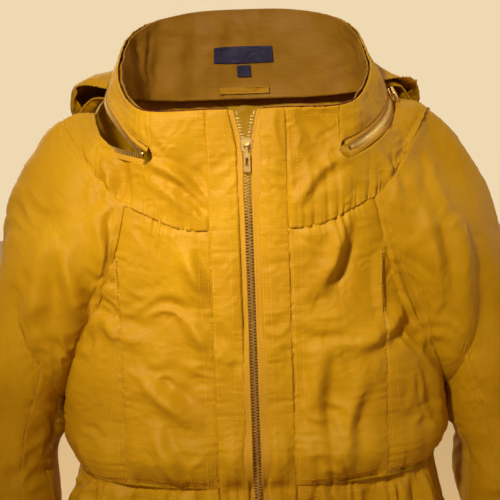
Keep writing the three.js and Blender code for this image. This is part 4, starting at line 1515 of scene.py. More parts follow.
@dataclass
class NeckParts:
    """Yoke, collar, facing, labels and hanger loop."""

    tailor: Tailor

    def build(self) -> None:
        """Sews the pieces round the neck."""
        for side in Side:
            self.yoke_front(side)
        self.yoke_back()
        self.collar_back()
        self.facing()
        self.trims()
        self.dark_edge_rod()

    def dark_edge_rod(self) -> None:
        """A thin dark maroon rod between the two layers along the collar's front top edge, broken at the zip;
        it darkens that edge.
        """
        parts = []
        for side in Side:
            k = np.linspace(0.47, 2.7, 90)
            p = NECK.rim(k) - unit(NECK.rim(k) * np.array([1, 1, 0])) * 2.2
            p[:, 2] += 0.25
            parts.append(rod(mirrored(p, side), 0.75, count=8))
        points, faces = join(parts)
        # a thin dark rod in the gap between the collar's two layers, darkening its front top edge
        cord = mesh_object("collar_dark_edge", points, faces, points[:, :2] * MM)
        outward(cord)
        dress(cord, DARK_EDGE, "coat", ())

    def yoke_front(self, side: Side) -> None:
        """The front yoke with the collar's front grown on.

        Args:
            side: the wearer's side.
        """

        def surface(u: Array, v: Array) -> Array:
            """Points of the bare panel.

            Args:
                u: places across, 0 to 1.
                v: places down, 0 to 1.

            Returns:
                Points.
            """
            k = mix(0.925, 4.98, u)
            low = NECK.yoke(k) + np.array([0, 0, 0.8])
            high = NECK.band(k, -LANE * ease(1.9, 2.15, k) - NECK.mouth(k))
            crease = NECK.base(k)
            crease[..., 0] = np.interp(k, [0, 1, 2], [0, BODY.placket, NECK.end[0]])
            high = np.where((k < 2)[..., None], crease, high)
            t = np.clip(v * 2, 0, 1)[..., None]
            bulge = 5 * np.sin(np.pi * t) * ease(2.6, 4, k)[..., None] * np.array([0.7, 0, 0.7])
            up = mix(high, NECK.rim(k), np.clip(v * 2 - 1, 0, 1)[..., None])
            return mirrored(np.where((v <= 0.5)[..., None], mix(low, high, t) + bulge, up), side)

        def keep(u: Array, v: Array) -> Array:
            """Which cells exist: none past the zip's end above the yoke."""
            return (mix(0.925, 4.98, u) < 1.985) | (v < 0.5)

        panel = self.tailor.panel(
            f"yoke_front_{side.word}", surface, pitch=1.3, core=(0, 0, -60), start_v=GATHERED,
            start_u=Edge(roll=1.0, seam=PUCKER, hold=2.0, tuck=3.0),
            end_v=Edge(roll=0.7, seam=PUCKER, hold=2.0),
            keep=keep,
        )
        self.tailor.sew(panel)
        end = (1.985 - 0.925) / (4.98 - 0.925)
        self.tailor.topstitch(panel, "u0", 5.5, 11.5)
        self.tailor.topstitch(panel, "v0", 2.2)
        self.tailor.topstitch(panel, "v1", 9.0, end=end)
        t = np.linspace(end, 1, 300)
        self.tailor.stitches.row(panel, t, np.full(300, 0.5 - 1.6 / panel.height))

    def yoke_back(self) -> None:
        """The back yoke, between the two shoulders."""

        def surface(u: Array, v: Array) -> Array:
            """Points of the bare panel.

            Args:
                u: places across, 0 to 1.
                v: places down, 0 to 1.

            Returns:
                Points.
            """
            q = mix(4.97, 13.03, u)
            k, turn = round_neck(q)
            low = NECK.yoke(k) * turn + np.array([0, 0, 0.8])
            high = NECK.band(q, -LANE * ease(1.9, 2.15, k) - NECK.mouth(q))
            swell = (5 * np.sin(np.pi * v) * (1 - ease(5, 7, k)))[..., None]
            return mix(low, high, v[..., None]) + swell * np.array([0.7, 0, 0.7]) * turn

        panel = self.tailor.panel(
            "yoke_back", surface, pitch=2.2, core=(0, 0, -80), start_v=GATHERED,
            end_v=Edge(roll=0.8, seam=PUCKER, hold=2.0),
        )
        self.tailor.sew(panel, rows={"v0": (2.2,), "v1": (2.0,)})

    def collar_back(self) -> None:
        """The collar above the zip, from one front round to the other."""

        def surface(u: Array, v: Array) -> Array:
            """Points of the bare panel.

            Args:
                u: places across, 0 to 1.
                v: places down, 0 to 1.

            Returns:
                Points.
            """
            q = mix(1.93, 16.07, u)
            k, turn = round_neck(q)
            low = NECK.band(q, LANE * ease(1.9, 2.15, k) + NECK.mouth(q))
            return mix(low, NECK.rim(k) * turn, v[..., None])

        panel = self.tailor.panel(
            "collar_back", surface, pitch=1.8, core=(0, 0, 20),
            start_v=FELLED, end_v=Edge(roll=0.6, seam=PUCKER, hold=3.0),
            start_u=Edge(roll=0.6, seam=None, hold=1.0, tuck=3.0),
            end_u=Edge(roll=0.6, seam=None, hold=1.0, tuck=3.0),
        )
        self.tailor.sew(panel, rows={"v0": (2.0,), "v1": (11.0,)})

    @staticmethod
    def facing_surface(u: Array, v: Array) -> Array:
        """Inner face of the collar from the zip's foot to the rim.

        Args:
            u: places across, 0 to 1.
            v: places down, 0 to 1.

        Returns:
            One for each place.
        """
        q = mix(*FACING_SPAN, u)
        k, turn = round_neck(q)
        base = NECK.base(k)
        inward = mix(0.985, 0.88, ease(1.2, 3.5, k))
        foot = stack(base[..., 0] * inward, base[..., 1] * inward, mix(base[..., 2], 2.0, ease(2.5, 8, k)))
        return mix(foot, NECK.rim(k), v[..., None]) * turn

    def facing(self) -> None:
        """The collar's inner layer: the same cloth, wrong side out, with soft folds."""
        panel = self.tailor.panel(
            "collar_facing", self.facing_surface, pitch=2.2,
            thickness=1.0, depth=3.0, core=(0, 0, 20), extra=self.slack,
            **all_round(Edge(roll=0.3, seam=PUCKER, hold=3.0)),
        )
        self.tailor.sew(panel, LINING)

    @staticmethod
    def slack(u: Array, v: Array, p: Array) -> Array:
        """The inner layer's upright folds, and those of what is sewn to it."""
        return -1.0 * np.abs(wander(p * np.array([1, 1, 0.2]), 45, 77)) - 0.8 * wander(p, 30, 78)

    def trims(self) -> None:
        """Blank woven labels and the hanger loop, sewn to the facing at the centre back."""
        for name, width, height, t, depth, finish in (
            ("neck_label", 72, 18, 0.5, 4.7, SATIN),
            ("size_label", 16, 12, 0.32, 4.7, SATIN),
            ("hanger_loop", 60, 7, 0.1, 5.4, TAPE),
        ):
            reach, rise = width / 2 / 60, height / 96 / 2

            def surface(u: Array, v: Array, reach: float = reach, rise: float = rise, t: float = t) -> Array:
                """Points of the bare panel.

                Args:
                    u: places across, 0 to 1.
                    v: places down, 0 to 1.
                    reach: half its width, in stations.
                    rise: half its height, as a share of the facing.
                    t: its place down the facing, 0 to 1.

                Returns:
                    Points.
                """
                first, last = FACING_SPAN
                across = (mix(9 - reach, 9 + reach, u) - first) / (last - first)
                return self.facing_surface(across, mix(t + rise, t - rise, v))

            panel = self.tailor.panel(
                name, surface, pitch=1.2, thickness=0.6, depth=depth,
                core=(0, 0, 20), extra=self.slack, **all_round(OPEN),
            )
            self.tailor.sew(panel, finish, drawn=height > 10)


HOOD_REACH = 0.985  # how far round each side the hood goes, as a share of its zip
HOOD_SEAM = 0.36  # where the seams beside the hood's centre panel run, as such a share


@dataclass
class Hood:
    """The hood, hanging down the back in two soft layers from the collar zip's lane."""

    tailor: Tailor

    @staticmethod
    def middle(u: Array, v: Array) -> tuple[Array, Array]:
        """Middle of the two layers and half their distance, from the neck (v = 0) to the hem.

        Args:
            u: places round the neck, -1 to 1 in the hood.
            v: places down from the neck.

        Returns:
            Points; in the hood, with half the distance of its layers.
        """
        k = 9 - 3.35 * np.abs(u)
        turn = np.stack([np.where(u >= 0, 1.0, -1.0), 1 + 0 * u, 1 + 0 * u], -1)
        _, _, out = NECK.band_frame(k, 0 * k - 1)
        level = unit(out * np.array([1, 1, 0]))
        start = NECK.base(k) - out * 1.5
        crest = start + level * 48 + np.array([0, 0, 12.0])
        far = np.abs(u) ** 2.6
        end = stack(178 * np.sin(np.abs(u) * np.pi / 2) ** 0.9, mix(158, 84, far), -250 + 225 * far)
        t = v[..., None]
        p = (start * (1 - t) ** 2 + crest * 2 * t * (1 - t) + end * t**2) * turn
        throat = np.maximum(0.6, NECK.mouth(k) - 0.55)
        return p, mix(throat, 20 * (1 - 0.3 * np.abs(u)), ease(0.05, 0.75, v))

    def surface(self, a: Array, b: Array) -> Array:
        """Down the outer layer, round the hem and back up the inner layer.

        Args:
            a: places round the neck, 0 to 1.
            b: places down the outer layer and back up, 0 to 1.

        Returns:
            Points.
        """
        u = mix(-HOOD_REACH, HOOD_REACH, a)
        s = np.where(b <= 0.5, 2 * b, 2 - 2 * b)
        turn = np.clip((s - 0.86) / 0.14, 0, 1) * math.pi / 2
        v = np.where(s < 0.86, s, 0.86 + 0.14 * np.sin(turn))
        e = 1e-3
        p, half = self.middle(u, v)
        across = self.middle(np.minimum(1, u + e), v)[0] - self.middle(u - e, v)[0]
        down = self.middle(u, np.minimum(1, v + e))[0] - self.middle(u, np.maximum(0, v - e))[0]
        normal = unit(np.cross(down, across))
        outside = np.where(b <= 0.5, 1.0, -1.0) * np.where(s < 0.86, 1, np.cos(turn))
        return p + normal * (half * outside)[..., None]

    def build(self) -> None:
        """Sews the hood's three panels as one hanging cloth with its seams and edge casing."""

        def extra(a: Array, b: Array, p: Array) -> Array:
            """Lift of this panel alone.

            Args:
                a: places round the neck, 0 to 1.
                b: places down and back up, 0 to 1.
                p: points.

            Returns:
                Extra lift.
            """
            u = mix(-HOOD_REACH, HOOD_REACH, a)
            away = (np.abs(u) - HOOD_SEAM) * 190
            groove = sum(np.exp(-((away / w) ** 2)) * h for w, h in ((1.6, -1.6), (7, 0.7)))
            folds = 2.4 * wander(p * np.array([1.0, 1.0, 0.35]), 75, 91) + 1.4 * crumple(p, 42, 17)
            depth = ease(0.02, 0.2, np.minimum(b, 1 - b))
            return groove + folds * depth

        t = np.linspace(0, 1, 9)
        u, v = np.meshgrid(t, t * 0.4, indexing="ij")
        panel = Panel(
            "hood_cloth", self.surface, self.tailor.cloth,
            ("hood_left", "hood_centre", "hood_right", "hood_edge"),
            pitch=3.4, core=(0, 0, -120), start_v=OPEN, end_v=OPEN, extra=extra,
            start_u=FELLED, end_u=FELLED,
        )
        p = self.surface(u, v)
        n = np.cross(np.gradient(p, axis=0), np.gradient(p, axis=1))
        panel.sign = 1.0 if (n * (p - np.array([0, 60, -100.0]))).sum() > 0 else -1.0
        self.tailor.sew(panel)
        run = np.linspace(0.03, 0.455, 300)
        for sign in (-1, 1):
            for off in (-0.018, 0.018):
                across = (sign * (HOOD_SEAM + off) / HOOD_REACH + 1) / 2
                self.tailor.stitches.row(panel, np.full(300, across), run)
        self.tailor.stitches.row(panel, np.linspace(0.01, 0.99, 300), np.full(300, 0.455))


SLEEVE_END = 1.9475  # the cuff seam: 1 is the shoulder cut and 2 is the cuff's edge


@dataclass
class Sleeve:
    """One raglan sleeve with its cuff: a continuous cloth along a bent tube."""

    cloth: Cloth
    side: Side
    seams: tuple = (-155.0, -115.0, 115.0)

    def surface(self, u: Array, v: Array) -> Array:
        """From the raglan seam (v = 0) over the shoulder to the cuff seam.

        Args:
            u: places across, 0 to 1.
            v: places down, 0 to 1.

        Returns:
            Points.
        """
        s = v * SLEEVE_END
        angle = mix(-math.pi, math.pi, u)
        cut = SLEEVE.tube(0 * u, angle)
        inner = SLEEVE.seam(mix(0.03, 0.97, u), 4.0 * (1 - np.clip(s / 0.05, 0, 1)))
        t = np.clip(s, 0, 1)[..., None]
        away = unit(cut - np.array(SHOULDER))
        swell = SLEEVE.bulge * 4 * t * (1 - t) * np.maximum(np.sin(np.pi * u), 0)[..., None] ** 0.7
        head = mix(inner, cut, t) + away * swell
        tube = SLEEVE.tube(np.clip(s - 1, 0, 1), angle)
        return mirrored(np.where((s <= 1)[..., None], head, tube), self.side)

    def extra(self, u: Array, v: Array, p: Array) -> Array:
        """Seam grooves along the sleeve and folds round the elbow and above the cuff.

        Args:
            u: places across, 0 to 1.
            v: places down, 0 to 1.
            p: points.

        Returns:
            Extra lift.
        """
        s = v * SLEEVE_END
        total = 0.0 * u
        for seam in self.seams:
            away = np.abs(u - (seam / 360 + 0.5)) * self.round
            along = v * self.long
            seam_ = -1.3 * np.exp(-((away / 1.5) ** 2)) + PUCKER.lift(along + seam, away) * 0.9
            total = total + seam_ * ease(0.75, 0.95, s)
        rings = wander(p * np.array([0.35, 0.35, 1.0]) + 40, 60, 201) * 2.2 * ease(0.9, 1.3, s)
        bunch = ripple(-p[..., 2] + 6 * np.sin(p[..., 0] / 17), 24, 33) * 1.5 * ease(1.55, 1.9, s)
        long_folds = 2.0 * wander(p * np.array([1.0, 1.0, 0.22]), 62, 207) * (1 - ease(0.9, 1.5, s))
        return total + rings + bunch + long_folds

    def build(self) -> None:
        """Sews the sleeve, the cuff and their stitches; the sleeve and its stitches ride on no body."""
        word, body = self.side.word, f"sleeve_{self.side.word}"
        raglan = Edge(roll=1.2, seam=Seam(9.0, 2.0, 14.0, 21), hold=5.0, tuck=3.5)
        panel = Panel(
            f"sleeve_{word}_cloth", self.surface, self.cloth, (), pitch=2.9,
            core=(self.side.value * 235.0, 0, -330),
            start_v=raglan, end_v=Edge(roll=0.9, seam=Seam(9.0, 1.2, 9.0, 6), hold=3.0), closed_u=True,
        )
        self.round, self.long = panel.width, panel.height
        panel.extra = self.extra
        stitches = Stitching(f"sleeve_{word}_stitches")
        stitches.row(panel, np.linspace(0.02, 0.98, 500), 6.0 / panel.height)
        stitches.row(panel, np.linspace(0.02, 0.98, 500), 13.5 / panel.height)
        for seam in self.seams:
            for off in (-2.6, 2.6):
                stitches.row(panel, seam / 360 + 0.5 + off / panel.width, np.linspace(0.46, 0.99, 400))
        tailor = Tailor(self.cloth, stitches)
        nodes = (f"sleeve_head_{word}", f"sleeve_outer_{word}", f"sleeve_inner_{word}")
        panel.body = ""
        sleeve = tailor.sew(panel)
        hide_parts(*nodes)
        sign = self.side.value
        sewn = stitches.build(THREAD, None)
        for piece in (sleeve, sewn):
            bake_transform(piece)

        def ring(u: Array, v: Array) -> Array:
            """Points of the cuff."""
            return mirrored(SLEEVE.tube(mix(SLEEVE_END - 1, 1.0, v), mix(-math.pi, math.pi, u)), self.side)

        cuff = Panel(
            f"cuff_{word}_cloth", ring, self.cloth, (f"cuff_{word}",), body=body, pitch=2.2, thickness=2.0,
            core=(sign * 298.0, 0, -600), start_v=Edge(1.0, Seam(9.0, 0.6, 6.0, 3), 3.0),
            end_v=Edge(0.9, Seam(11.0, 0.5, 6.0, 4), 3.0), closed_u=True, soft=0.5,
        )
        rows = Stitching(f"cuff_{word}_stitches")
        keeper = Tailor(self.cloth, rows)
        keeper.sew(cuff, rows={"v0": (2.2,), "v1": (2.2,)})
        rows.build(THREAD, body)


# ---- zips


@dataclass(frozen=True)
class Seat:
    """Where a slider or pull stands: an origin with its across, outward and along directions."""

    origin: tuple
    across: tuple
    out: tuple
    along: tuple

    def put(self, p: Array) -> Array:
        """Points from the seat's own (across, out, along) millimetres to the frame."""
        axes = unit(np.array([self.across, self.out, self.along], float))
        return np.array(self.origin, float) + np.asarray(p, float) @ axes


def plate(outline: Array, half: float, bevel: float, hole: Array | None = None) -> tuple[Array, Array]:
    """A bevelled plate in the across-along plane, whole or with a hole.

    Args:
        outline: (n, 2) outer outline, in (across, along).
        half: half the thickness.
        bevel: bevel width.
        hole: (n, 2) outline of a hole, point for point inside the outer one.

    Returns:
        Points in (across, out, along) and quad faces.
    """
    centre = outline.mean(0)
    inner = hole if hole is not None else np.tile(centre, (len(outline), 1))
    mid = (outline + inner) / 2
    share = np.minimum(0.9, bevel / np.linalg.norm(mid - outline, axis=1))
    inset = outline + (mid - outline) * share[:, None]
    profile = [(inner, -half), (inset, -half), (outline, -half + bevel)]
    profile += [(outline, half - bevel), (inset, half), (inner, half)]
    rings = np.stack([stack(p[:, 0], np.full(len(p), y), p[:, 1]) for p, y in profile])
    m, n = rings.shape[:2]
    index = np.arange(m * n).reshape(m, n)
    nxt = np.roll(index, -1, 0) if hole is not None else index[1:]
    now = index if hole is not None else index[:-1]
    return rings.reshape(-1, 3), quads(now, nxt)


def rounded(width: float, length: float, power: float = 5.0, top: float = 1.0, count: int = 48) -> Array:
    """A rounded rectangle outline; `top` widens its upper end.

    Args:
        width: width.
        length: length.
        power: roundness: 2 is an ellipse.
        top: how much wider the upper end is.
        count: points of the outline.

    Returns:
        The outline, (count, 2), across and along.
    """
    t = np.linspace(0, 2 * math.pi, count, endpoint=False)
    c, s = np.cos(t), np.sin(t)
    x = np.sign(c) * np.abs(c) ** (2 / power) * width / 2
    z = np.sign(s) * np.abs(s) ** (2 / power) * length / 2
    return np.stack([x * mix(1, top, z / length + 0.5), z], -1)


def rod(path: Array, radius: float | Array, count: int = 14, flat: float = 1.0) -> tuple[Array, Array]:
    """A round bar along a path, closed at both ends by its small last rings.

    Args:
        path: points along the middle.
        radius: radius.
        count: corners of its section.
        flat: depth over width of the section.

    Returns:
        Points and quad faces.
    """
    t = unit(np.gradient(path, axis=0))
    hint = np.array([1.0, 0.03, 0.02])
    side = unit(np.cross(t, hint + 0 * t))
    other = np.cross(t, side)
    a = np.linspace(0, 2 * math.pi, count, endpoint=False)
    radius = np.broadcast_to(np.asarray(radius, float), (len(path),)).copy()
    spoke = side[:, None] * np.cos(a)[:, None] + other[:, None] * (np.sin(a) * flat)[:, None]
    rings = path[:, None] + spoke * radius[:, None, None]
    first = path[0][None, None] + 0 * rings[:1]
    last = path[-1][None, None] + 0 * rings[-1:]
    rings = np.concatenate([first, rings, last])
    index = np.arange(rings.shape[0] * count).reshape(-1, count)
    return rings.reshape(-1, 3), quads(index[:-1], index[1:])


def join(parts: Sequence[tuple[Array, Array]]) -> tuple[Array, Array]:
    """Several meshes as one.

    Args:
        parts: meshes as points and faces.

    Returns:
        Points and faces.
    """
    points, faces, at = [], [], 0
    for p, f in parts:
        points.append(p)
        faces.append(f + at)
        at += len(p)
    return np.concatenate(points), np.concatenate(faces)


def cast(name: str, parts: Sequence[tuple[Array, Array]], seat: Seat | None, body: str, *nodes: str) -> None:
    """Makes a metal piece from its parts, placed on a seat.

    Args:
        name: the piece's name.
        parts: meshes as points and faces.
        seat: where it stands, or none if already placed.
        body: the body that it rides on.
        nodes: the CAD nodes that it stands for.
    """
    points, faces = join(parts)
    obj = mesh_object(name, seat.put(points) if seat else points, faces)
    outward(obj)
    obj.data.shade_smooth()
    edge = obj.modifiers.new("edges", "EDGE_SPLIT")
    edge.split_angle = math.radians(38)
    dress(obj, BRASS, body, nodes)


def tooth_row(name: str, points: Array, faces: Array, node: str) -> None:
    """Makes a row of teeth with flat faces, so that their edges catch the light.

    Args:
        name: the piece's name.
        points: points.
        faces: faces as point numbers, all of one size.
        node: the CAD node that it stands for.
    """
    obj = mesh_object(name, points, faces)
    outward(obj)
    obj.data.polygons.foreach_set("use_smooth", np.zeros(len(obj.data.polygons), bool))
    dress(obj, BRASS, "coat", (node,))


BAIL = 3.6  # the pull's pin above a slider's upper plate, millimetres


def slider_parts(height: float) -> list[tuple[Array, Array]]:
    """A slider: two shaped plates, four flanges and the arched bail that holds the pull.

    Args:
        height: from the upper plate to the lower.

    Returns:
        Meshes in (across, out, along).
    """
    shape = rounded(9.4, 13.6, 4.0, 1.2)
    parts = []
    for y in (0.1, -height):
        p, f = plate(shape, 0.75, 0.35)
        parts.append((p + np.array([0, y, 0]), f))
    for side in (-1, 1):
        path = np.array([(side * 4.6, -0.7, -5.8), (side * 4.9, -0.7, 0), (side * 5.5, -0.7, 4.6)], float)
        parts.append(rod(spline(path, np.linspace(0, 2, 9)), 0.7))
        parts.append(rod(spline(path - np.array([0, height - 1.5, 0]), np.linspace(0, 2, 9)), 0.7))
    for side in (-1, 1):
        ear = rounded(4.6, 6.4, 2.6, count=24)
        p, f = plate(ear, 0.45, 0.18)
        p = np.stack([p[:, 1] + side * 2.15, p[:, 0] + 2.4, p[:, 2]], -1)
        parts.append((p, f))
    count, half, radius = 12, 2.6, 0.78
    a = np.linspace(0, 2 * math.pi, count, endpoint=False)
    profile = ((-half, 0.02), (-half, 1), (half, 1), (half, 0.02))
    pin = [
        stack(np.full(count, x), BAIL + radius * r * np.cos(a), radius * r * np.sin(a))
        for x, r in profile
    ]
    index = np.arange(len(profile) * count).reshape(-1, count)
    parts.append((np.stack(pin).reshape(-1, 3), quads(index[:-1], index[1:])))
    return parts


def pull_parts(length: float, width: float, thickness: float) -> list[tuple[Array, Array]]:
    """A pull hanging from the origin's pin: an eye, a neck and a tab with a hole and a raised
    rim.

    Args:
        length: length.
        width: width of the tab.
        thickness: thickness.

    Returns:
        Meshes in (across, out, along).
    """
    half = thickness / 2
    eye = rounded(3.4, 3.6, 2.2, count=32)
    p, f = plate(eye, 1.55, 0.3, rounded(1.9, 1.9, 2.0, count=32))
    parts = [(np.stack([p[:, 1], p[:, 0], p[:, 2]], -1), f)]
    neck = rounded(2.9, length * 0.3, 4.5, 0.85)
    p, f = plate(neck, half * 0.95, 0.2)
    parts.append((p + np.array([0, 0, -1.6 - length * 0.15]), f))
    body = rounded(width, length * 0.68, 7.0, 0.94)
    hole = rounded(width * 0.5, length * 0.3, 4.0) + np.array([0, length * 0.02])
    p, f = plate(body, half, 0.3, hole)
    parts.append((p + np.array([0, 0, -length * 0.26 - length * 0.34]), f))
    return parts


@dataclass
class FrontZip:
    """The front zip: tapes, brass teeth, stops, box, pin, slider and pull."""

    cloth: Cloth
    slope: float = (BODY.front_hem - BODY.front_top) / BODY.length
    pitch: float = 2.9

    def frame(self, x: Array, depth: Array, down: Array) -> Array:
        """Point beside the middle line, behind the front face and below the collar's top.

        Args:
            x: distance beside the middle line.
            depth: millimetres behind the front face.
            down: distance below the collar's top, millimetres.

        Returns:
            One for each place.
        """
        turn = math.atan(self.slope)
        x, depth, down = np.broadcast_arrays(*(np.asarray(a, float) for a in (x, depth, down)))
        y = -100 + depth * math.cos(turn) - down * math.sin(turn)
        return stack(x, y, -down * math.cos(turn) - depth * math.sin(turn))

    def build(self) -> None:
        """Makes every piece of the zip."""
        slider = self.frame(0, 0, 33)
        along = self.frame(0, 0, 0) - self.frame(0, 0, 1)
        out = self.frame(0, -1, 0) - self.frame(0, 0, 0)
        for side in Side:
            self.tape(side)
            self.row(side, along, out)
            down = np.array([2.1, 5.6])
            x = side.value * (1.6 + v_gap(down))
            p = self.frame(x, 2.4, down)
            cast(f"front_stop_{side.word}", [rod(np.linspace(p[0], p[1], 4), 1.25, flat=0.9)], None, "coat",
                 f"front_zip_top_stop_{side.word}")
        seat = Seat(tuple(self.frame(-1.35, 2.4, 613.5)), (1, 0, 0), tuple(out), tuple(along))
        cast("front_box", [plate(rounded(3.4, 9.0, 5), 1.5, 0.35)], seat, "coat", "front_zip_box")
        pin = self.frame(1.9, 2.4, np.array([609.2, 617.8]))
        bar = rod(np.linspace(pin[0], pin[1], 6), 1.15, flat=0.9)
        cast("front_pin", [bar], None, "coat", "front_zip_pin")
        seat = Seat(tuple(slider), (1, 0, 0), tuple(out), tuple(along))
        cast("front_slider_metal", slider_parts(4.6), seat, "front_slider", "front_zip_slider")
        seat = Seat(tuple(seat.put(np.array([0, BAIL, 0]))), (1, 0, 0), tuple(out), tuple(along))
        cast("front_pull_metal", pull_parts(26.5, 6.4, 1.4), seat, "front_pull", "front_zip_pull")

    def tape(self, side: Side) -> None:
        """One tape, with its cord beside the teeth.

        Args:
            side: the wearer's side.
        """

        def surface(u: Array, v: Array) -> Array:
            """Points of the bare panel."""
            down = mix(1, 618, v)
            return mirrored(self.frame(mix(3.4, 14, u) + v_gap(down), 2.0, down), side)

        panel = Panel(
            f"front_tape_{side.word}", surface, Cloth(soft=0.0, crisp=0.0), (f"front_zip_tape_{side.word}",),
            pitch=1.5, thickness=0.8, **all_round(OPEN),
            extra=lambda u, v, p: 0.45 * np.exp(-(((u * 10.6 - 1.0) / 0.9) ** 2)),
        )
        Tailor(self.cloth).sew(panel, TAPE)

    def row(self, side: Side, along: Array, out: Array) -> None:
        """One row of teeth; the other side's stand half a pitch lower.

        Args:
            side: the wearer's side.
            along: direction along the zip.
            out: direction out of the cloth.
        """
        first = 7.0 + (0 if side is Side.LEFT else self.pitch / 2)
        down = np.arange(first, 607, self.pitch)
        centres = self.frame(side.value * v_gap(down), 2.3, down)
        across = np.array([side.value, 0, 0.0]) + 0 * centres
        points, faces = teeth(centres, across, unit(along) + 0 * centres, unit(out) + 0 * centres, 1.1, 3.4)
        tooth_row(f"front_teeth_{side.word}", points, faces, f"front_zip_teeth_{side.word}")


@dataclass
class CollarZip:
    """The zip round the neck that closes the hood away; it stands open behind its slider."""

    cloth: Cloth
    pitch: float = 2.9

    def build(self) -> None:
        """Makes both bands, the stops, the slider and its pull."""
        for upper in (True, False):
            self.band(upper)
        for word, q in (("left", 2.3), ("right", 15.7)):
            p = NECK.band(np.array([q - 0.03, q + 0.03]), np.zeros(2), 2.4)
            bar = rod(np.linspace(p[0], p[1], 4), np.array([2.2, 2.6, 2.6, 2.2]), flat=0.6)
            cast(f"collar_stop_{word}", [bar], None, "coat", f"collar_zip_stop_{word}")
        along, up, out = (v[0] for v in NECK.band_frame(np.array([NECK.slider]), np.array([1.0])))
        # Two known faults, kept: the slider's outer side is turned into the coat, so its bail is not
        # at the pull's pin; and the pull lies along its own hinge axis, so its swing only spins it.
        # The solids have both right: there across, out and along are -up, out and along.
        seat = Seat(NECK.shoulder, tuple(-up), tuple(-out), tuple(along))
        cast("collar_slider_metal", slider_parts(4.6), seat, "collar_slider", "collar_zip_slider")
        pin = np.array(NECK.shoulder) + out * BAIL
        hang = Seat(tuple(pin), tuple(along), tuple(-out), tuple(up))
        cast("collar_pull_metal", pull_parts(19.5, 6.4, 1.4), hang, "collar_pull", "collar_zip_pull")

    def lane(self, upper: bool, q: Array, low: float, high: float, t: Array) -> Array:
        """Offset on one side of the meeting line, past the row's parting."""
        sign = 1 if upper else -1
        return sign * (mix(low, high, t) + NECK.mouth(q))

    def band(self, upper: bool) -> None:
        """One tape with its row of teeth.

        Args:
            upper: whether it is the upper band.
        """
        word = "upper" if upper else "lower"

        def surface(u: Array, v: Array) -> Array:
            """Points of the bare panel."""
            q = mix(2.2, 15.8, u)
            return NECK.band(q, self.lane(upper, q, 3.4, 9.0, v), 0.0)

        panel = Panel(
            f"collar_tape_{word}", surface, Cloth(soft=0.0, crisp=0.0),
            (f"collar_zip_tape_{word}",), pitch=1.6,
            thickness=0.7, depth=2.2, core=(0, 0, -40), **all_round(OPEN),
        )
        panel.build(TAPE)
        q = np.linspace(2.36, 15.64, 4000)
        line = NECK.band(q, self.lane(upper, q, 0.0, 0.0, 0 * q), 2.2)
        s = np.concatenate([[0], np.cumsum(np.linalg.norm(np.diff(line, axis=0), axis=1))])
        at = np.interp(np.arange(0 if upper else self.pitch / 2, s[-1], self.pitch), s, q)
        centres = NECK.band(at, self.lane(upper, at, 0.0, 0.0, 0 * at), 2.2)
        k, turn = round_neck(at)
        along, up, out = NECK.band_frame(k, np.full(len(at), 1.0 if upper else -1.0))
        along, up, out = along * turn, up * turn * (1 if upper else -1), out * turn
        points, faces = teeth(centres, up, along, out, 1.1, 3.4)
        tooth_row(f"collar_teeth_{word}", points, faces, f"collar_zip_teeth_{word}")


# ---- light, camera and the whole


def studio() -> None:
    """A pale floor well below the hem, a warm plain world and five soft lamps."""
    world = bpy.data.worlds.new("studio")
    world.use_nodes = True
    tree = world.node_tree
    back = tree.nodes["Background"]
    ray = place(tree, "ShaderNodeTexCoord")
    axes = place(tree, "ShaderNodeSeparateXYZ", {0: ray.outputs["Generated"]})
    share = place(tree, "ShaderNodeMapRange", {"Value": axes.outputs["Y"]}, From_Min=-0.3, From_Max=0.5)
    tint = place(tree, "ShaderNodeMix", {0: share.outputs[0]}, data_type="RGBA")
    tint.inputs[6].default_value = linear("#6B4E2C")
    tint.inputs[7].default_value = linear("#EFD9B2")
    tree.links.new(tint.outputs[2], back.inputs["Color"])
    back.inputs["Strength"].default_value = 1.0
    bpy.context.scene.world = world
    reach, drop = 4000.0, -760.0
    corners = [(-reach, -reach, drop), (reach, -reach, drop), (reach, reach, drop), (-reach, reach, drop)]
    floor = mesh_object("floor", np.array(corners), np.array([[0, 1, 2, 3]]))
    paint = bpy.data.materials.new("floor")
    paint.use_nodes = True
    paint.node_tree.nodes["Principled BSDF"].inputs["Base Color"].default_value = linear("#E6CFA4")
    paint.node_tree.nodes["Principled BSDF"].inputs["Roughness"].default_value = 0.8
    floor.data.materials.append(paint)
    for name, stand, aim, size, power in (
        ("key", (-0.36, -0.95, 0.50), (-0.03, -0.1, -0.11), 0.10, 1.12),
        ("fill", (1.3, -1.5, 0.3), (0, 0, -0.1), 0.8, 0.6),
        ("top", (0.3, 0.7, 1.5), (0, 0, 0), 1.0, 2.5),
        ("rear", (-0.9, 2.0, 0.6), (0, 0.1, -0.25), 1.0, 9),
        ("side", (2.2, 0.3, 0.3), (0.3, 0, -0.3), 1.0, 4),
    ):
        lamp = bpy.data.lights.new(name, "AREA")
        lamp.size = size
        lamp.energy = power
        lamp.spread = math.radians(42 if name == "key" else 120)
        lamp.color = (1.0, 0.95, 0.86)
        obj = bpy.data.objects.new(name, lamp)
        bpy.context.collection.objects.link(obj)
        obj.location = stand
        obj.rotation_euler = (Vector(aim) - Vector(stand)).to_track_quat("-Z", "Y").to_euler()


def grade() -> None:
    """Plain display colours, so the dye keeps its strength."""
    bpy.context.scene.view_settings.view_transform = "Standard"
    bpy.context.scene.view_settings.exposure = 0.0


def camera() -> None:
    """The camera: level with the collar, a little above it, looking slightly down."""
    data = bpy.data.cameras.new("camera")
    data.lens = 78.3
    data.sensor_width = 36
    obj = bpy.data.objects.new("camera", data)
    bpy.context.collection.objects.link(obj)
    stand = Vector((0.0, -1.10, 0.043))
    turn = (Vector((0.0, -0.106, -0.130)) - stand).to_track_quat("-Z", "Y").to_matrix()
    turn = turn @ Matrix.Rotation(math.radians(-2.0), 3, "Z")
    obj.matrix_world = Matrix.Translation(stand) @ turn.to_4x4()
    bpy.context.scene.camera = obj


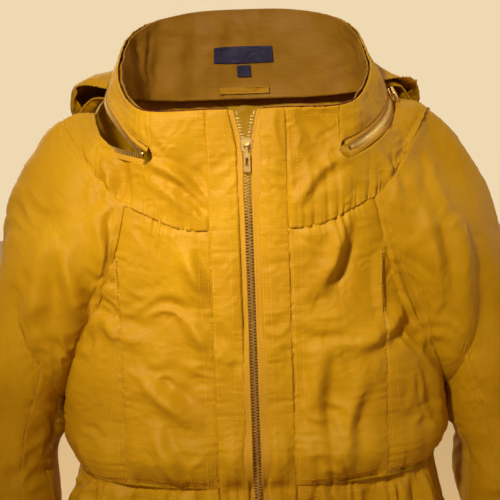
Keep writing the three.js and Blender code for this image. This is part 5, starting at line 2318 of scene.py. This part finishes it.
DRAWN = [
    Fold(((86, -108), (81, -134), (66, -168)), 10.6, 8.1),
    Fold(((-61, -132), (-52, -150), (-43, -170)), 10.6, 8.1),
    Fold(((-63, -195), (-46, -215), (-28, -236)), 8.5, 8.1),
    Fold(((-107, -253), (-82, -274), (-58, -294)), 8.5, 9.0),
    Fold(((-90, -46), (-62, -62), (-38, -90)), 6.4, 6.3),
    Fold(((-92, -62), (-64, -82), (-40, -106)), 5.5, 6.3),
    Fold(((-128, -44), (-142, -62), (-152, -84)), 5.1, 5.4),
    Fold(((-124, -48), (-131, -68), (-134, -92)), 5.1, 5.4),
    Fold(((92, -46), (66, -60), (42, -88)), 5.1, 6.3),
    Fold(((124, -46), (136, -66), (142, -92)), 4.6, 5.4),
    Fold(((-179, -132), (-170, -168), (-164, -206)), 9.5, 9.9),
    Fold(((-133, -42), (-130, -60), (-129, -82)), 6.4, 6.3),
    Fold(((-143, -90), (-140, -120), (-136, -150)), 6.4, 7.2),
    Fold(((-196, -118), (-204, -160), (-214, -220)), 8.5, 10.8),
    Fold(((152, -196), (128, -214), (98, -226)), 8.5, 9.0),
    Fold(((-152, -196), (-130, -210), (-104, -216)), 7.5, 9.0),
    Fold(((196, -112), (204, -160), (212, -230)), 8.5, 10.8),
    Fold(((166, -96), (172, -130), (182, -176)), 7.2, 8.1),
    Fold(((64, -230), (58, -270), (60, -310)), 6.8, 9.0),
    Fold(((-96, -300), (-84, -326), (-78, -350)), 6.4, 7.2),
    Fold(((102, -262), (88, -300), (84, -346)), 7.2, 8.1),
    Fold(((60, -110), (-10, -150), (-80, -230)), 8.5, 12.6, behind=True),
    Fold(((-70, -130), (-20, -190), (10, -280)), 8.5, 12.6, behind=True),
]


def main() -> None:
    """Loads the frame and builds the coat's looks round it."""
    logging.basicConfig(level=logging.INFO, format="%(name)s: %(message)s")
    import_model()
    cloth = Cloth(DRAWN)
    tailor = Tailor(cloth, Stitching("topstitching"))
    Bodice(tailor).build()
    NeckParts(tailor).build()
    Hood(tailor).build()
    tailor.stitches.build(THREAD, "coat")
    for side in Side:
        Sleeve(cloth, side).build()
    FrontZip(cloth).build()
    CollarZip(cloth).build()
    studio()
    camera()
    grade()


if __name__ == "__main__":
    main()
